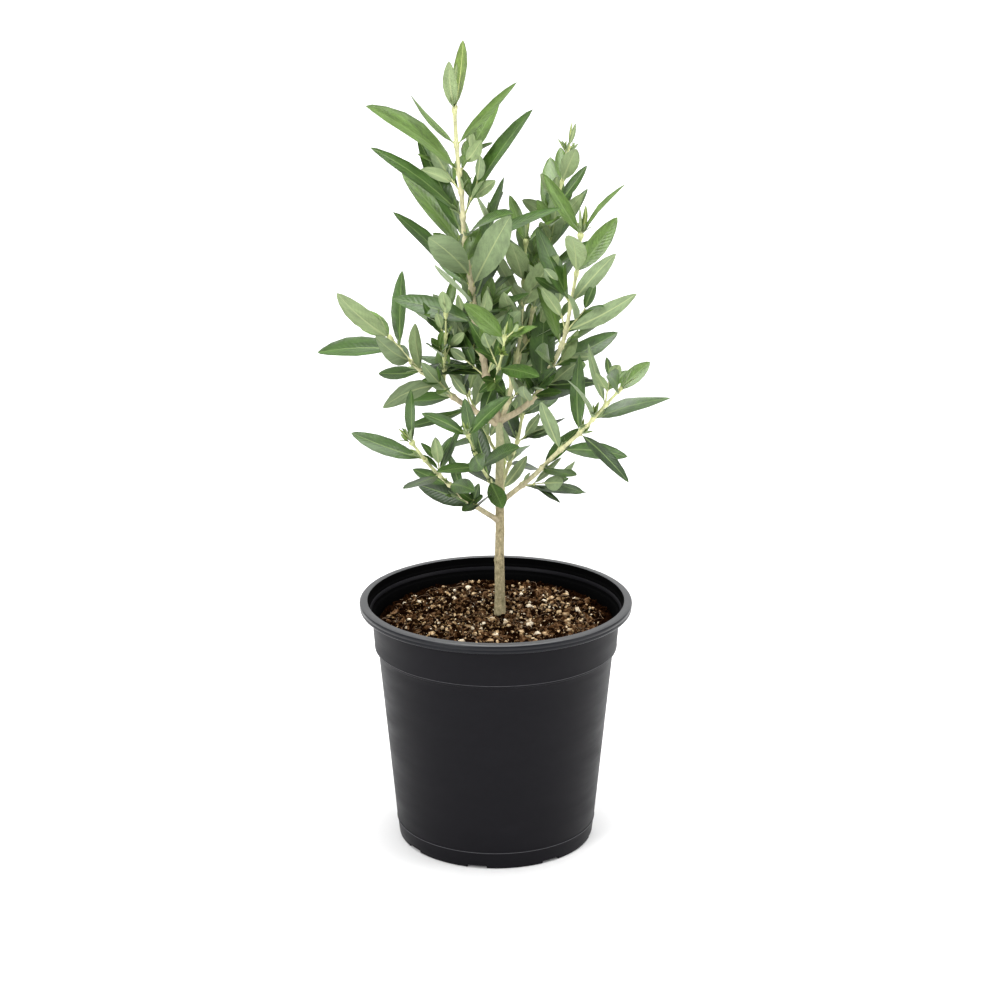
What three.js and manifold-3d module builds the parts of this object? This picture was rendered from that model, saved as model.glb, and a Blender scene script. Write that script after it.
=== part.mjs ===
// A young olive tree in its nursery pot. Millimetres, +Z up.
// The origin is the centre of the pot's flat underside, and -Y is the front.
import * as THREE from 'three';
import Module from 'manifold-3d';
import { mergeVertices } from 'three/addons/utils/BufferGeometryUtils.js';

const wasm = await Module();
wasm.setup();

// ---------------------------------------------------------------- driving dimensions

const GAP = 0.3;                 // clearance kept between neighbouring solids

const pot = {
  height: 176,
  rim: 95.8,                     // outside radius of the rolled rim
  mouth: 89.8,                   // inside radius of the rim
  wall: 1.8,
  lipDeep: 6.6,                  // height of the band that hangs from the rim
  lipRound: 1.6,
  collarTop: 87.4,               // collar radius just under the lip
  collarFoot: 85.4,              // collar radius at its lower edge
  collarDeep: 34,                // from the rim down to the collar's lower edge
  stepDeep: 1.6,                 // height of the bevel under the collar
  bodyTop: 82.9,                 // body radius just under the collar
  bodyFoot: 70.9,                // body radius at the ring line above the base
  ringLine: 12.5,                // height of that ring line
  underside: 68,               // radius of the flat underside
  floor: 2.4,
  segments: 36,
};
const drain = { slots: 8, first: 34, wide: 14, deep: 7, tall: 2.2 };  // first: degrees

const soil = { edge: 17, crown: 11.5, rings: 4, segments: 24 };  // depths below the rim

const trunk = {
  foot: [2.8, 6.0],
  top: [2.6, 4.5, 304],
  thick: 7.2,
  thin: 5.2,
  flare: 0.8,                    // how much wider the root flare is at soil level
  flareHigh: 10,
};

// Limbs: what each grows on and how far along it, the point its tip reaches, its bow
// (0 is straight; more leaves the parent flatter and turns up later), and its
// thickness at the foot and at the tip. A shoot that starts inside a mass of foliage
// has no solid of its own, and only carries leaves.
const limbRows = {
  leader: { on: 'trunk', at: 0.99, tip: [-28, 0, 531], bow: 0.22, thick: 5.4, thin: 2.2 },
  left_bough: { on: 'trunk', at: 0.975, tip: [-74, 24, 359], bow: 0.12, thick: 4.6, thin: 2.0 },
  right_bough: { on: 'trunk', at: 1.0, tip: [56.5, -12, 437], bow: 0.36, thick: 4.6, thin: 1.8 },
  second_stem: { on: 'trunk', at: 0.99, tip: [20.5, 20, 427], bow: 0.3, thick: 3.8, thin: 1.6 },
  rear_stem: { on: 'second_stem', at: 0.12, tip: [50, 44, 487], bow: 0.06, thick: 3.2, thin: 1.5 },
  lower_left_bough: { on: 'trunk', at: 0.475, tip: [-57, -25, 296.5], bow: 0.1, thick: 4.0, thin: 1.8 },
  lower_right_bough: { on: 'trunk', at: 0.57, tip: [84, -35, 337], bow: 0.04, thick: 3.9, thin: 1.8 },
  inner_left_shoot: { on: 'trunk', at: 0.6, tip: [-19, -46, 308], bow: 0.05, thick: 2.6, thin: 1.3 },
  back_left_shoot: { on: 'trunk', at: 0.8, tip: [-20, 52, 312], bow: 0.08, thick: 2.6, thin: 1.3 },
  inner_right_shoot: { on: 'trunk', at: 0.64, tip: [25, 44, 340], bow: 0.2, thick: 2.8, thin: 1.3 },
  rear_bough: { on: 'leader', at: 0.06, tip: [-18, 66, 400], bow: 0.15, thick: 3.0, thin: 1.4 },
  front_bough: { on: 'leader', at: 0.14, tip: [6, -48, 376], bow: 0.12, thick: 2.8, thin: 1.4 },
  left_upright: { on: 'left_bough', at: 0.45, tip: [-34, 4, 380], bow: 0.2, inFoliage: true },
  gap_shoot: { on: 'leader', at: 0.3, tip: [-5, 26, 440], bow: 0.25, inFoliage: true },
  low_back_shoot: { on: 'trunk', at: 0.52, tip: [8, 58, 282], bow: 0.1, thick: 2.4, thin: 1.2 },
};

// Sprays of foliage, one mass each: the limb, the stretch of it that carries leaves, the
// number of leaf pairs, the length of a full leaf, how much of that the last pair has,
// the angle off the limb at the first and the last pair, the turn of the first pair
// round the limb, and the seed. A spray with a bud has young leaves at the limb's tip.
const sprayRows = {
  crown_top: { on: 'leader', from: 0.885, to: 0.955, pairs: 2, leaf: 58, young: 0.72, wide: 36, close: 26, turn: 30, seed: 3, bud: true },
  crown_high: { on: 'leader', from: 0.66, to: 0.83, pairs: 4, leaf: 74, young: 0.95, wide: 40, close: 28, turn: 60, seed: 2 },
  crown_middle: { on: 'leader', from: 0.47, to: 0.62, pairs: 4, leaf: 68, young: 0.95, wide: 46, close: 46, turn: 120, seed: 6 },
  crown_low: { on: 'leader', from: 0.22, to: 0.42, pairs: 4, leaf: 54, young: 1.0, wide: 50, close: 50, turn: 120, seed: 2 },
  second_top: { on: 'second_stem', from: 0.6, to: 0.985, pairs: 4, leaf: 56, young: 0.55, wide: 46, close: 30, turn: 120, seed: 6, bud: true },
  second_low: { on: 'second_stem', from: 0.2, to: 0.52, pairs: 3, leaf: 46, young: 1.0, wide: 50, close: 46, turn: 0, seed: 6 },
  rear_top: { on: 'rear_stem', neck: 0.1, from: 0.7, to: 0.97, pairs: 4, leaf: 54, young: 0.55, wide: 46, close: 30, turn: 20, seed: 5, bud: true },
  rear_low: { on: 'rear_stem', from: 0.3, to: 0.62, pairs: 4, leaf: 54, young: 1.0, wide: 50, close: 46, turn: 150, seed: 3 },
  right_top: { on: 'right_bough', neck: 0.1, from: 0.66, to: 0.985, pairs: 4, leaf: 64, young: 0.8, wide: 52, close: 36, turn: 120, seed: 7, bud: true },
  right_low: { on: 'right_bough', from: 0.25, to: 0.58, pairs: 4, leaf: 52, young: 1.0, wide: 56, close: 50, turn: 20, seed: 3 },
  left_tip: { on: 'left_bough', neck: 0.1, from: 0.74, to: 0.985, pairs: 3, leaf: 52, young: 1.0, wide: 60, close: 46, turn: 160, seed: 6, bud: true },
  left_low: { on: 'left_bough', from: 0.22, to: 0.64, pairs: 4, leaf: 46, young: 1.0, wide: 60, close: 56, turn: 40, seed: 7 },
  lower_left_tip: { on: 'lower_left_bough', neck: 0.12, from: 0.66, to: 0.99, pairs: 3, leaf: 46, young: 1.0, wide: 60, close: 42, turn: 60, seed: 4, bud: true },
  lower_left_low: { on: 'lower_left_bough', from: 0.24, to: 0.54, pairs: 3, leaf: 38, young: 1.0, wide: 60, close: 56, turn: 160, seed: 5 },
  lower_right_tip: { on: 'lower_right_bough', neck: 0.14, from: 0.64, to: 0.98, pairs: 4, leaf: 54, young: 0.75, wide: 55, close: 40, turn: 100, seed: 2, bud: true },
  lower_right_low: { on: 'lower_right_bough', from: 0.18, to: 0.5, pairs: 3, leaf: 42, young: 1.0, wide: 60, close: 56, turn: 60, seed: 7 },
  inner_left: { on: 'inner_left_shoot', from: 0.3, to: 0.97, pairs: 4, leaf: 38, young: 0.9, wide: 60, close: 40, turn: 60, seed: 6, bud: true },
  back_left: { on: 'back_left_shoot', from: 0.3, to: 0.97, pairs: 4, leaf: 40, young: 0.9, wide: 60, close: 40, turn: 60, seed: 5, bud: true },
  inner_right: { on: 'inner_right_shoot', from: 0.25, to: 0.97, pairs: 5, leaf: 44, young: 0.9, wide: 58, close: 40, turn: 90, seed: 3, bud: true },
  rear_bough_end: { on: 'rear_bough', from: 0.3, to: 0.97, pairs: 6, leaf: 50, young: 0.8, wide: 55, close: 35, turn: 30, seed: 6, bud: true },
  front_bough_end: { on: 'front_bough', from: 0.35, to: 0.97, pairs: 4, leaf: 38, young: 0.8, wide: 55, close: 35, turn: 120, seed: 2, bud: true },
  left_upright_end: { on: 'left_upright', from: 0.3, to: 0.97, pairs: 4, leaf: 38, young: 0.8, wide: 50, close: 35, turn: 30, seed: 1, bud: true },
  gap_end: { on: 'gap_shoot', from: 0.35, to: 0.97, pairs: 4, leaf: 40, young: 0.7, wide: 45, close: 30, turn: 90, seed: 1, bud: true },
  low_back_end: { on: 'low_back_shoot', from: 0.3, to: 0.97, pairs: 3, leaf: 40, young: 0.9, wide: 60, close: 40, turn: 30, seed: 4, bud: true },
};

// ---------------------------------------------------------------- solids and meshes

function toSolid(geometry) {
  const bare = geometry.clone();
  bare.deleteAttribute('normal');
  bare.deleteAttribute('uv');
  const merged = mergeVertices(bare, 1e-4);
  return new wasm.Manifold(new wasm.Mesh({
    numProp: 3,
    vertProperties: new Float32Array(merged.attributes.position.array),
    triVerts: new Uint32Array(merged.index.array),
  }));
}

function toGeometry(solid) {
  const mesh = solid.getMesh();
  const geometry = new THREE.BufferGeometry();
  geometry.setAttribute('position', new THREE.BufferAttribute(new Float32Array(mesh.vertProperties), 3));
  geometry.setIndex(new THREE.BufferAttribute(new Uint32Array(mesh.triVerts), 1));
  geometry.computeVertexNormals();
  return geometry;
}

// The piece of a cut solid that holds the most, or the one nearest to a point.
function largest(solid) {
  return solid.decompose().reduce((a, b) => (b.volume() > a.volume() ? b : a));
}

function nearest(solid, point) {
  const reach = (piece) => {
    const spots = piece.getMesh().vertProperties;
    let best = Infinity;
    for (let i = 0; i < spots.length; i += 3) {
      best = Math.min(best, Math.hypot(spots[i] - point.x, spots[i + 1] - point.y, spots[i + 2] - point.z));
    }
    return best;
  };
  return solid.decompose().reduce((a, b) => (reach(b) < reach(a) ? b : a));
}

// A profile of [radius, height] points turned about the Z axis.
function turned(profile, segments) {
  const points = profile.map(([r, z]) => new THREE.Vector2(r, z));
  return new THREE.LatheGeometry(points, segments).rotateX(Math.PI / 2);
}

// ---------------------------------------------------------------- pot and compost

function makePot() {
  const p = pot;
  const slope = (p.bodyTop - p.bodyFoot) / (p.height - p.collarDeep - p.stepDeep - p.ringLine);
  const bodyAt = (z) => p.bodyFoot + slope * (z - p.ringLine);
  const arc = (r, z, radius, from, to, steps) => Array.from({ length: steps + 1 }, (_, i) => {
    const turn = THREE.MathUtils.degToRad(from + ((to - from) * i) / steps);
    return [r + radius * Math.cos(turn), z + radius * Math.sin(turn)];
  });
  const collarEdge = p.height - p.collarDeep;
  const outside = [
    [p.underside, 0],
    [bodyAt(2), 2],
    [p.bodyFoot, p.ringLine],
    [p.bodyTop, collarEdge - p.stepDeep],
    [p.collarFoot, collarEdge],
    [p.collarTop, p.height - p.lipDeep],
    [p.rim - 0.8, p.height - p.lipDeep],
    ...arc(p.rim - p.lipRound, p.height - p.lipRound, p.lipRound, 0, 90, 2),
  ];
  const inside = [
    ...arc(p.mouth + p.lipRound, p.height - p.lipRound, p.lipRound, 90, 180, 2),
    [p.collarTop - p.wall + 1.2, p.height - 2 * p.lipDeep],
    [p.collarFoot - p.wall, collarEdge - 1],
    [p.bodyTop - p.wall, collarEdge - p.stepDeep - 1],
    [bodyAt(p.floor) - p.wall, p.floor],
  ];
  let solid = toSolid(turned([[0, 0], ...outside, ...inside, [0, p.floor]], p.segments));
  for (let i = 0; i < drain.slots; i += 1) {
    const slot = new THREE.BoxGeometry(2 * drain.deep, drain.wide, 2 * drain.tall);
    slot.translate(p.underside, 0, 0);
    slot.rotateZ(THREE.MathUtils.degToRad(drain.first + (360 * i) / drain.slots));
    solid = solid.subtract(toSolid(slot));
  }
  return solid;
}

// The compost fills the pot and rises a little towards the trunk.
function makeCompost() {
  const p = pot;
  const slope = (p.bodyTop - p.bodyFoot) / (p.height - p.collarDeep - p.stepDeep - p.ringLine);
  const inset = p.wall + 1.4 * GAP;
  const foot = p.floor + GAP;
  const edge = p.height - soil.edge;
  const edgeRadius = p.collarTop - inset - 1.2;
  const mound = Array.from({ length: soil.rings }, (_, i) => {
    const share = (i + 1) / soil.rings;
    return [edgeRadius * (1 - share), edge + (soil.edge - soil.crown) * Math.sin((share * Math.PI) / 2)];
  });
  return toSolid(turned([
    [0, foot],
    [p.bodyFoot + slope * (foot - p.ringLine) - inset, foot],
    [p.bodyTop - inset, p.height - p.collarDeep - p.stepDeep - 0.6],
    [p.collarFoot - inset - 0.4, p.height - p.collarDeep - 0.2],
    [edgeRadius, edge],
    ...mound,
  ], soil.segments));
}

// ---------------------------------------------------------------- limbs

const soilTop = pot.height - soil.crown;

// A limb is one bend: a quadratic curve that leaves its parent flat and turns up.
function limbCurve(foot, tip, bow) {
  const reach = tip.clone().sub(foot);
  const bend = foot.clone().add(new THREE.Vector3(
    reach.x * (0.5 + bow), reach.y * (0.5 + bow), reach.z * (0.5 - bow),
  ));
  return new THREE.QuadraticBezierCurve3(foot, bend, tip);
}

const limbs = { trunk: {
  ...trunk,
  curve: limbCurve(new THREE.Vector3(...trunk.foot, soilTop), new THREE.Vector3(...trunk.top), 0),
} };
for (const [name, row] of Object.entries(limbRows)) {
  const foot = limbs[row.on].curve.getPoint(row.at);
  limbs[name] = { ...row, curve: limbCurve(foot, new THREE.Vector3(...row.tip), row.bow) };
}

// A closed tapering tube: a unit cylinder bent along the limb's curve.
function limbSolid({ curve, thick, thin, flare = 0, flareHigh = 1 }, extra = 0, lift = 0) {
  const sides = 6;
  const steps = Math.max(6, Math.round(curve.getLength() / 24));
  const tube = new THREE.CylinderGeometry(1, 1, 1, sides, steps);
  const spots = tube.attributes.position;
  const across = curve.v1.clone().sub(curve.v0).cross(curve.v2.clone().sub(curve.v0));
  if (across.length() < 1) across.set(0, 1, 0);
  across.normalize();
  for (let i = 0; i < spots.count; i += 1) {
    const share = spots.getY(i) + 0.5;
    const at = curve.getPoint(share);
    const along = curve.getTangent(share);
    const side = across.clone().addScaledVector(along, -across.dot(along)).normalize();
    const over = side.clone().cross(along);
    const high = (share * curve.getLength()) / flareHigh;
    const radius = (thick + (thin - thick) * share) / 2 + flare * Math.exp(-high * high) + extra;
    at.addScaledVector(side, spots.getX(i) * radius).addScaledVector(over, spots.getZ(i) * radius);
    if (share === 0) at.z += lift;
    spots.setXYZ(i, at.x, at.y, at.z);
  }
  return toSolid(tube);
}

// ---------------------------------------------------------------- foliage masses

// A repeatable stand-in for chance, from 0 to 1.
function chance(seed, draw) {
  const value = Math.sin(seed * 12.9898 + draw * 78.233) * 43758.5453;
  return value - Math.floor(value);
}

// The two directions square to a limb: level with the ground, and over the limb.
function squareTo(along) {
  let side = along.clone().cross(new THREE.Vector3(0, 0, 1));
  if (side.length() < 0.2) side = along.clone().cross(new THREE.Vector3(0, 1, 0));
  side.normalize();
  return [side, side.clone().cross(along)];
}

// Leaves stand in opposite pairs, each pair square to the last, with seeded changes in
// turn, lean, length and twist. Each is returned as its foot, middle and tip. A spray
// with a neck wraps some of the bare limb under its first leaves too.
function sprayLeaves(row) {
  const { curve } = limbs[row.on];
  let draws = 0;
  const vary = () => { draws += 1; return chance(row.seed, draws) * 2 - 1; };
  const leaves = [];
  if (row.neck) {
    const neck = curve.getPoint(row.from - row.neck);
    leaves.push({ foot: neck, middle: neck, tip: neck });
  }
  for (let pair = 0; pair < row.pairs; pair += 1) {
    const share = pair / (row.pairs - 1);
    const at = Math.min(1, row.from + (row.to - row.from) * share + 0.012 * vary());
    const foot = curve.getPoint(at);
    const along = curve.getTangent(at);
    const [side, over] = squareTo(along);
    for (let half = 0; half < 2; half += 1) {
      const turn = THREE.MathUtils.degToRad(row.turn + 90 * pair + 180 * half + 25 * vary());
      const lean = THREE.MathUtils.degToRad(row.wide + (row.close - row.wide) * share + 16 * vary());
      const length = row.leaf * (1 + (row.young - 1) * share) * (1 + 0.22 * vary());
      const twist = THREE.MathUtils.degToRad(40 * vary());
      const droop = 0.18 * vary() + 0.06;
      const grows = vary() > -0.75;
      vary();
      if (!grows) continue;
      const out = side.clone().multiplyScalar(Math.cos(turn)).addScaledVector(over, Math.sin(turn));
      const rib = along.clone().multiplyScalar(Math.cos(lean)).addScaledVector(out, Math.sin(lean));
      const face = along.clone().multiplyScalar(Math.sin(lean)).addScaledVector(out, -Math.cos(lean));
      const edge = rib.clone().cross(face);
      face.multiplyScalar(Math.cos(twist)).addScaledVector(edge, Math.sin(twist));
      const point = (part) => foot.clone().addScaledVector(rib, length * part)
        .addScaledVector(face, -droop * length * part * part);
      leaves.push({ foot, middle: point(0.55), tip: point(1) });
    }
  }
  if (row.bud) {
    const rib = curve.getTangent(1);
    leaves.push({ foot: curve.getPoint(1), middle: curve.getPoint(1), tip: curve.getPoint(1).addScaledVector(rib, 0.3 * row.leaf) });
  }
  return leaves;
}

// One mass wraps its spray: a ball whose points are drawn out to the leaves near them
// and lie close to the spray's middle between leaves.
function massSolid(leaves, extra = 0) {
  const core = 11;
  const spread = 0.5;
  const middle = new THREE.Vector3();
  leaves.forEach((leaf) => middle.add(leaf.middle));
  middle.divideScalar(leaves.length);
  const rays = leaves.flatMap((leaf) => [leaf.foot, leaf.middle, leaf.tip]).map((point) => point.clone().sub(middle));
  const ball = mergeVertices(new THREE.IcosahedronGeometry(1, 2).deleteAttribute('normal').deleteAttribute('uv'), 1e-4);
  const spots = ball.attributes.position;
  const directions = Array.from({ length: spots.count }, (_, i) => new THREE.Vector3().fromBufferAttribute(spots, i).normalize());
  const reach = directions.map((direction) => rays.reduce((most, ray) => {
    const apart = direction.angleTo(ray) / spread;
    return Math.max(most, ray.length() * Math.exp(-apart * apart));
  }, core));
  leaves.forEach((leaf) => {
    const ray = leaf.tip.clone().sub(middle);
    const close = directions.reduce((best, direction, i) => (
      direction.angleTo(ray) < directions[best].angleTo(ray) ? i : best), 0);
    if (ray.length() > reach[close]) reach[close] = ray.length();
  });
  directions.forEach((direction, i) => {
    const spot = middle.clone().addScaledVector(direction, reach[i] + extra);
    spots.setXYZ(i, spot.x, spot.y, spot.z);
  });
  return toSolid(ball);
}

// ---------------------------------------------------------------- the whole plant

const looks = {
  pot: { color: 0x2b2c30, roughness: 0.55, metalness: 0 },
  compost: { color: 0x38261a, roughness: 0.95, metalness: 0 },
  bark: { color: 0x9a9078, roughness: 0.85, metalness: 0 },
  foliage: { color: 0x4f7a45, roughness: 0.6, metalness: 0 },
};

const group = new THREE.Group();

function add(name, solid, look) {
  const mesh = new THREE.Mesh(toGeometry(solid), new THREE.MeshStandardMaterial(look));
  mesh.name = name;
  group.add(mesh);
}

const potSolid = makePot();
const trunkSolid = limbSolid(limbs.trunk, 0, GAP);
add('pot', potSolid, looks.pot);
add('potting_compost', makeCompost(), looks.compost);
add('trunk', trunkSolid, looks.bark);

// Each limb is cut clear of the limbs made before it.
const limbSolids = {};
const limbCutters = [limbSolid(limbs.trunk, GAP)];
for (const name of Object.keys(limbRows)) {
  if (limbs[name].inFoliage) continue;
  const whole = limbSolid(limbs[name]);
  const clear = limbCutters.reduce((solid, cutter) => solid.subtract(cutter), whole);
  limbSolids[name] = nearest(clear, limbs[name].curve.getPoint(0));
  limbCutters.push(limbSolid(limbs[name], GAP));
}

// The trunk and the leader run up through the foliage, and every mass is cut round them
// and clear of the masses made before it. The other boughs end where they enter a mass.
const through = [limbSolid(limbs.trunk, GAP), limbSolid(limbs.leader, GAP)];
const masses = {};
const massCutters = [];
for (const [name, row] of Object.entries(sprayRows)) {
  const leaves = sprayLeaves(row);
  const clear = [...through, ...massCutters].reduce((solid, cutter) => solid.subtract(cutter), massSolid(leaves));
  masses[name] = largest(clear);
  massCutters.push(massSolid(leaves, 2 * GAP));
}

add('leader', limbSolids.leader, looks.bark);
for (const [name, solid] of Object.entries(limbSolids)) {
  if (name === 'leader') continue;
  const open = massCutters.reduce((rest, cutter) => rest.subtract(cutter), solid);
  const stub = nearest(open, limbs[name].curve.getPoint(0));
  add(name, stub, looks.bark);
}
for (const [name, solid] of Object.entries(masses)) add(`foliage_${name}`, solid, looks.foliage);

export default group;
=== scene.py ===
# %% [markdown]
# # A young olive tree in its nursery pot
#
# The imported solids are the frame: they say how big everything is and where it stands. This lesson
# builds the looks round them. It goes from what is simple to what is many: the camera and the
# light, the plastic pot, the compost, the woody trunk and boughs, and then the leaves, which grow
# on the boughs by a rule. Sizes are thought of in millimetres and made in metres.

# %% Load the frame
import math
import random

import bpy
import numpy as np
from mathutils import Matrix, Vector, noise


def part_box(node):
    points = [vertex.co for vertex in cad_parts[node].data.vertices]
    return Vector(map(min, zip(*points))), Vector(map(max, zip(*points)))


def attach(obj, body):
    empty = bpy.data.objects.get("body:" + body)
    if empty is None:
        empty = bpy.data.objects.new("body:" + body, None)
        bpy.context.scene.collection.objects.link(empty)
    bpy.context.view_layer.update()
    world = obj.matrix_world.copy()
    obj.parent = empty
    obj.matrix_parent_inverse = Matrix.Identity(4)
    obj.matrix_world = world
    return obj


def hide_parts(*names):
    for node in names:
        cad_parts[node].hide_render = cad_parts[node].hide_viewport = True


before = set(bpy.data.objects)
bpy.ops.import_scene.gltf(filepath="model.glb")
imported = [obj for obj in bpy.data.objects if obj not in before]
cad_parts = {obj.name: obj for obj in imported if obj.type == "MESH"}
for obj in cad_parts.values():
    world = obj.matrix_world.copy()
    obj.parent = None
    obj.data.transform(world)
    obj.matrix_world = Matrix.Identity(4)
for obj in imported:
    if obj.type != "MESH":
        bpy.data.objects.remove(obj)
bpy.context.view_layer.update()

MM = 0.001
pot_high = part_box("pot")[1]
bed_low, bed_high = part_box("potting_compost")

# %% [markdown]
# ## Camera
#
# The plant is seen from a little above the top of its crown, far enough away that it looks almost
# flat. A long lens gives that: a short one close up would swell the pot's rim. The camera is made
# first, so that each piece can be judged as it will be seen.

# %% Camera
LOOKS_DOWN = 17.21  # degrees

eye = bpy.data.objects.new("eye", bpy.data.cameras.new("eye"))
bpy.context.collection.objects.link(eye)
eye.data.sensor_width = 36
eye.data.lens = 86.87
eye.data.shift_x = 0.0042
eye.location = (0, -1.6, 0.7434)
eye.rotation_euler = (math.radians(90 - LOOKS_DOWN), 0, 0)
eye.data.clip_end = 100
bpy.context.scene.camera = eye
print("camera", round(eye.location.length, 2), "m from the foot of the pot")

# %% [markdown]
# ## Finishes
#
# Every material starts as one Principled shader. The helper makes it and sets the plain numbers on
# the shader's own sockets, where an export can read them. Others mottle a colour with noise that
# is fixed to the object, since no natural surface is one colour all over, add a fine bump for the
# surface's grain, and make some places glossier than others.

# %% Finish helpers
def new_finish(name, colour, roughness, **sockets):
    finish = bpy.data.materials.new(name)
    finish.use_nodes = True
    shader = finish.node_tree.nodes["Principled BSDF"]
    shader.inputs["Base Color"].default_value = (*colour, 1)
    shader.inputs["Roughness"].default_value = roughness
    for socket, value in sockets.items():
        shader.inputs[socket.replace("_", " ")].default_value = value
    return finish


def add_noise(finish, scale, detail=3.0, stretch=(1, 1, 1), roughness=0.5):
    tree = finish.node_tree
    place = tree.nodes.new("ShaderNodeTexCoord")
    mapping = tree.nodes.new("ShaderNodeMapping")
    mapping.inputs["Scale"].default_value = stretch
    cloud = tree.nodes.new("ShaderNodeTexNoise")
    cloud.inputs["Scale"].default_value = scale
    cloud.inputs["Detail"].default_value = detail
    cloud.inputs["Roughness"].default_value = roughness
    tree.links.new(place.outputs["Object"], mapping.inputs["Vector"])
    tree.links.new(mapping.outputs["Vector"], cloud.inputs["Vector"])
    return cloud


def add_ramp(finish, stops):
    """A colour ramp through the stops, each one a place from 0 to 1 and a colour."""
    ramp = finish.node_tree.nodes.new("ShaderNodeValToRGB")
    while len(ramp.color_ramp.elements) < len(stops):
        ramp.color_ramp.elements.new(0.5)
    for element, (place, colour) in zip(ramp.color_ramp.elements, stops):
        element.position = place
        element.color = (*colour, 1)
    return ramp


def mottle(finish, stops, scale, **how):
    """The base colour runs through the stops as the noise goes from 0 to 1. Returns the noise."""
    tree = finish.node_tree
    cloud = add_noise(finish, scale, **how)
    ramp = add_ramp(finish, stops)
    tree.links.new(cloud.outputs["Fac"], ramp.inputs["Fac"])
    tree.links.new(ramp.outputs["Color"], tree.nodes["Principled BSDF"].inputs["Base Color"])
    return cloud


def grain(finish, scale, depth, strength=0.5, sunk=False, **how):
    """A bump that stands depth metres high, from noise. Where it is sunk, it lies as deep."""
    tree = finish.node_tree
    cloud = add_noise(finish, scale, **how)
    bump = tree.nodes.new("ShaderNodeBump")
    bump.inputs["Distance"].default_value = depth
    bump.inputs["Strength"].default_value = strength
    bump.invert = sunk
    tree.links.new(cloud.outputs["Fac"], bump.inputs["Height"])
    tree.links.new(bump.outputs["Normal"], tree.nodes["Principled BSDF"].inputs["Normal"])
    return bump


def vary_roughness(finish, scale, low, high, **how):
    """The roughness wanders between low and high."""
    tree = finish.node_tree
    cloud = add_noise(finish, scale, **how)
    spread = tree.nodes.new("ShaderNodeMapRange")
    spread.inputs["From Min"].default_value = 0.3
    spread.inputs["From Max"].default_value = 0.7
    spread.inputs["To Min"].default_value = low
    spread.inputs["To Max"].default_value = high
    tree.links.new(cloud.outputs["Fac"], spread.inputs["Value"])
    tree.links.new(spread.outputs["Result"], tree.nodes["Principled BSDF"].inputs["Roughness"])


def tint(colour, by):
    return tuple(min(1.0, c * by) for c in colour)


print("finish helpers are ready")

# %% [markdown]
# ## Floor
#
# The plant stands on a plain white floor. It could be a curved studio sweep. One wide plane does
# the same if it glows a little far from the pot, where a sweep would be lit by its own lamps.

# %% Floor
bpy.ops.object.select_all(action="DESELECT")
bpy.ops.mesh.primitive_plane_add(size=60, location=(0, 0, 0))
floor = bpy.context.object
floor.name = "floor"
white_floor = new_finish("white_floor", (0.80, 0.80, 0.80), 0.9, Emission_Color=(1, 1, 1, 1))
floor_tree = white_floor.node_tree
floor_place = floor_tree.nodes.new("ShaderNodeTexCoord")
floor_reach = floor_tree.nodes.new("ShaderNodeVectorMath")
floor_reach.operation = "LENGTH"
floor_glow = floor_tree.nodes.new("ShaderNodeMapRange")
floor_glow.inputs["From Min"].default_value = 0.15
floor_glow.inputs["From Max"].default_value = 2.5
floor_glow.inputs["To Min"].default_value = 0.05
floor_glow.inputs["To Max"].default_value = 0.6
floor_tree.links.new(floor_place.outputs["Object"], floor_reach.inputs[0])
floor_tree.links.new(floor_reach.outputs["Value"], floor_glow.inputs["Value"])
floor_tree.links.new(floor_glow.outputs["Result"],
                     floor_tree.nodes["Principled BSDF"].inputs["Emission Strength"])
floor.data.materials.append(white_floor)
print("floor is", round(floor.dimensions.x), "m wide")

# %% [markdown]
# ## Light
#
# The studio light is even. A bright world gives the even part and pales the edges of the dark pot.
# It is pure white where it shows. The light that it gives is strong from above and behind and weak
# from the front, so that the pot stays dark and the leaves keep their shape. Three wide lamps,
# overhead, at the front left and at the right, give the leaves a lit side and put a soft shadow
# under the pot. The colours are shown as they are, without a film look, so that white stays white.

# %% World
world = bpy.data.worlds.new("studio")
bpy.context.scene.world = world
world.use_nodes = True
sky = world.node_tree.nodes["Background"]
sky.inputs["Color"].default_value = (1, 1, 1, 1)
sky_nodes, sky_links = world.node_tree.nodes, world.node_tree.links
sky_way = sky_nodes.new("ShaderNodeTexCoord")
sky_bright_side = sky_nodes.new("ShaderNodeVectorMath")
sky_bright_side.operation = "DOT_PRODUCT"
sky_bright_side.inputs[1].default_value = (0, 0.5, 0.87)
sky_light = sky_nodes.new("ShaderNodeMapRange")
sky_light.inputs["From Min"].default_value = -0.7
sky_light.inputs["From Max"].default_value = 1.0
sky_light.inputs["To Min"].default_value = 0.22
sky_light.inputs["To Max"].default_value = 1.0
sky_seen = sky_nodes.new("ShaderNodeLightPath")
sky_strength = sky_nodes.new("ShaderNodeMix")
sky_strength.inputs["B"].default_value = 1.0
sky_links.new(sky_way.outputs["Generated"], sky_bright_side.inputs[0])
sky_links.new(sky_bright_side.outputs["Value"], sky_light.inputs["Value"])
sky_links.new(sky_light.outputs["Result"], sky_strength.inputs["A"])
sky_links.new(sky_seen.outputs["Is Camera Ray"], sky_strength.inputs["Factor"])
sky_links.new(sky_strength.outputs["Result"], sky.inputs["Strength"])
print("world:", world.name)

# %% Lamps
def add_lamp(name, place, target, size, watts):
    lamp = bpy.data.objects.new(name, bpy.data.lights.new(name, "AREA"))
    bpy.context.collection.objects.link(lamp)
    lamp.data.shape = "DISK"
    lamp.data.size = size
    lamp.data.energy = watts
    lamp.location = place
    lamp.rotation_euler = (Vector(target) - Vector(place)).to_track_quat("-Z", "Y").to_euler()
    return lamp


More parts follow.
